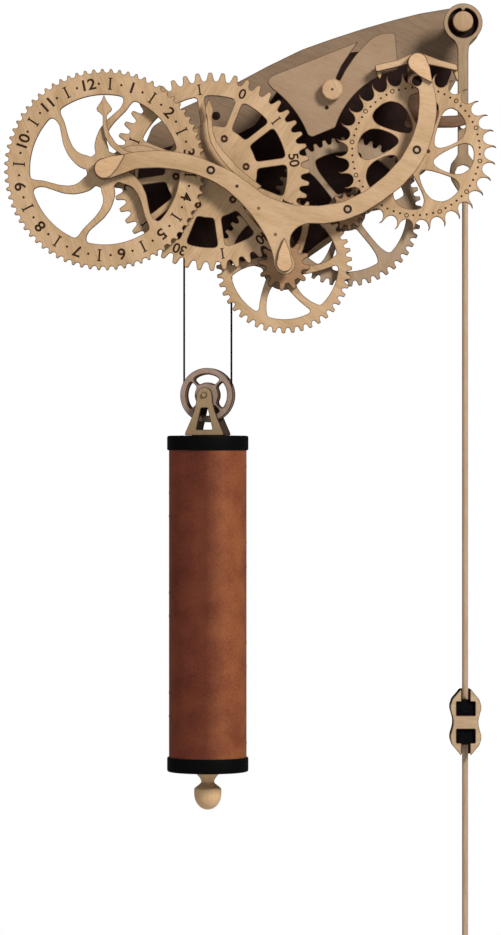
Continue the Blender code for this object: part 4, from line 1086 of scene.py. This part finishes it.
CORD_RADIUS = 0.8
CORD_PITCH = 1.65     # between turns on the drum
WOUND_RADIUS = 16.4   # of the cord's middle on the drum
LOOP_RADIUS = 20.05   # of the cord's middle round the pulley


def cord_piece(name, route, directions, sides):
    """Round cord along a route, from the two directions across it at each of its points."""
    rings = []
    for here, (out, up) in zip(route, directions):
        turns = [2 * math.pi * k / sides for k in range(sides)]
        rings.append([Vector(here) + (out * math.cos(turn) + up * math.sin(turn)) * CORD_RADIUS
                      for turn in turns])
    return mesh_piece(name, *lofted(rings), [BLACK_CORD])


def hanging_cord(name, route):
    """Cord whose route runs mostly across the y axis."""
    directions = []
    for i in range(len(route)):
        before = Vector(route[max(0, i - 1)])
        after = Vector(route[min(len(route) - 1, i + 1)])
        along = (after - before).normalized()
        side = along.cross(Vector((0.0, 1.0, 0.0))).normalized()
        directions.append((side, side.cross(along)))
    return cord_piece(name, route, directions, 12)


def wound_cord(name, route):
    """Cord wound round a y axis: each section lies in the plane of the axis and its radius."""
    middle_x = sum(x for x, _, _ in route) / len(route)
    middle_z = sum(z for _, _, z in route) / len(route)
    directions = [(Vector((x - middle_x, 0, z - middle_z)).normalized(), Vector((0, 1, 0)))
                  for x, _, z in route]
    return cord_piece(name, route, directions, 8)


def make_cords():
    steps = 60
    for name in ("cord_running", "cord_fixed"):
        x = place(name)[0]
        y = sum(layer(name)) / 2
        low, high = span(name)
        route = [(x, y, high - (high - low) * i / steps) for i in range(steps + 1)]
        cord = hanging_cord(name + "_run", route)
        bpy.context.collection.objects.link(cord)
        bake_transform(cord)
        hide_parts(name)
    loop = [(px, 0.0, pz) for px, pz in arc((0, 0), LOOP_RADIUS, 90, 270, 32)]
    finish_piece(hanging_cord("cord_loop_run", yawed(loop)), "weight", ["cord_loop"])
    low, high = layer("wound_cord")
    steps = 28
    total = round((high - low - 2 * CORD_RADIUS) / CORD_PITCH * steps)
    route = []
    for i in range(total + 1):
        px, pz = at(360 * i / steps, WOUND_RADIUS)
        route.append((px, low + CORD_RADIUS + CORD_PITCH * i / steps, pz))
    finish_piece(wound_cord("wound_cord_turns", route), "drum", ["wound_cord"])
    cord_y = sum(layer("cord_fixed")) / 2
    tie = [(px, cord_y, pz) for px, pz in arc(place("cord_peg"), 3.3, 180, 540, 28)]
    finish_piece(wound_cord("cord_tie", tie), "frame", [])


# ==================================================================== kept CAD nodes
def dress_kept_nodes():
    kept = {
        "drive_cage": tan("drive_cage_wood", 15, 30),
        "click_pin": DOWEL_WOOD,
        "click": pale("click_wood", 50, 31),
        "escape_collar": tan("escape_collar_wood", 0, 32),
        "drum_core": pale("drum_core_wood", 0, 33),
        "ratchet_wheel": tan("ratchet_wheel_wood", 35, 34),
        "drum_flange": tan("drum_flange_wood", -35, 35),
        "ballast": IRON,
    }
    for name, material in kept.items():
        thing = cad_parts[name]
        thing.data.materials.clear()
        thing.data.materials.append(material)


# ==================================================================== stage, light and camera
FLOOR_DROP = 0.30     # below the pendulum rod, in metres: the clock hangs on a wall
FLOOR_REACH = 1.6


def make_stage():
    bpy.context.scene.view_settings.view_transform = "Standard"
    low = CAD_BOX[0].z - FLOOR_DROP
    corners = [(x * FLOOR_REACH, y * FLOOR_REACH, low)
               for x, y in ((-1, -1), (1, -1), (1, 1), (-1, 1))]
    mesh = bpy.data.meshes.new("floor")
    mesh.from_pydata(corners, [], [(0, 1, 2, 3)])
    mesh.materials.append(speckled("floor_pale", (0.80, 0.80, 0.80), (0.83, 0.83, 0.83), 3, 0.8))
    floor = bpy.data.objects.new("floor", mesh)
    bpy.context.collection.objects.link(floor)


def make_world():
    """White to the camera, and a softer white light on the clock."""
    world = bpy.data.worlds.new("studio")
    bpy.context.scene.world = world
    world.use_nodes = True
    tree = world.node_tree
    sky = tree.nodes["Background"]
    seen = tree.nodes.new("ShaderNodeBackground")
    for background, strength in ((sky, 0.20), (seen, 1.0)):
        background.inputs["Color"].default_value = (*WHITE, 1)
        background.inputs["Strength"].default_value = strength
    path = tree.nodes.new("ShaderNodeLightPath")
    mix = tree.nodes.new("ShaderNodeMixShader")
    tree.links.new(path.outputs["Is Camera Ray"], mix.inputs["Fac"])
    tree.links.new(sky.outputs["Background"], mix.inputs[1])
    tree.links.new(seen.outputs["Background"], mix.inputs[2])
    tree.links.new(mix.outputs["Shader"], tree.nodes["World Output"].inputs["Surface"])


def area_light(name, spot, aim, size, power, colour):
    data = bpy.data.lights.new(name, "AREA")
    data.shape = "SQUARE"
    data.size = size
    data.energy = power
    data.color = colour
    light = bpy.data.objects.new(name, data)
    light.location = spot
    light.rotation_euler = (Vector(aim) - Vector(spot)).to_track_quat("-Z", "Y").to_euler()
    bpy.context.collection.objects.link(light)


def make_lights():
    middle = (CAD_BOX[0] + CAD_BOX[1]) / 2
    area_light("key", (1.7, -2.2, 1.5), middle, 0.7, 98, (1.0, 0.97, 0.93))
    area_light("fill", (-2.2, -2.0, 0.4), middle, 1.6, 11, (0.97, 0.98, 1.0))


CAMERA_DISTANCE = 3.2     # from the front of the wheels
LENS = 152.1
CAMERA_X = 0.0320
CAMERA_Z = -0.2397


def make_camera():
    data = bpy.data.cameras.new("camera")
    data.lens = LENS
    data.sensor_width = 36.0
    camera = bpy.data.objects.new("camera", data)
    wheels_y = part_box("minute_wheel")[0][1]
    camera.location = (CAMERA_X, wheels_y - CAMERA_DISTANCE, CAMERA_Z)
    camera.rotation_euler = (math.radians(90), 0, 0)
    bpy.context.collection.objects.link(camera)
    bpy.context.scene.camera = camera


# ==================================================================== build
make_camera()
make_cords()
make_hour_wheel()
make_minute_wheel()
make_lower_wheel()
make_third_wheel()
make_escape_wheel()
make_pinions()
make_front_frame()
teardrop("cap_left_drop", HOUR, 8.0, (-69.0, 12.6), "cap_left", 40)
teardrop("cap_middle_drop", LOWER, 6.5, (59.2, -54.4), "cap_middle", 41)
teardrop("cap_right_drop", PALLET, 7.8, (178.6, 70.0), "cap_right", 42)
make_upper_plate()
make_back_plate()
make_pointers()
make_frame_dowels()
make_hanging_peg()
make_anchor()
make_hanger()
make_rod()
make_bob()
make_pulley()
make_brackets()
make_weight()
dress_kept_nodes()
make_stage()
make_world()
make_lights()
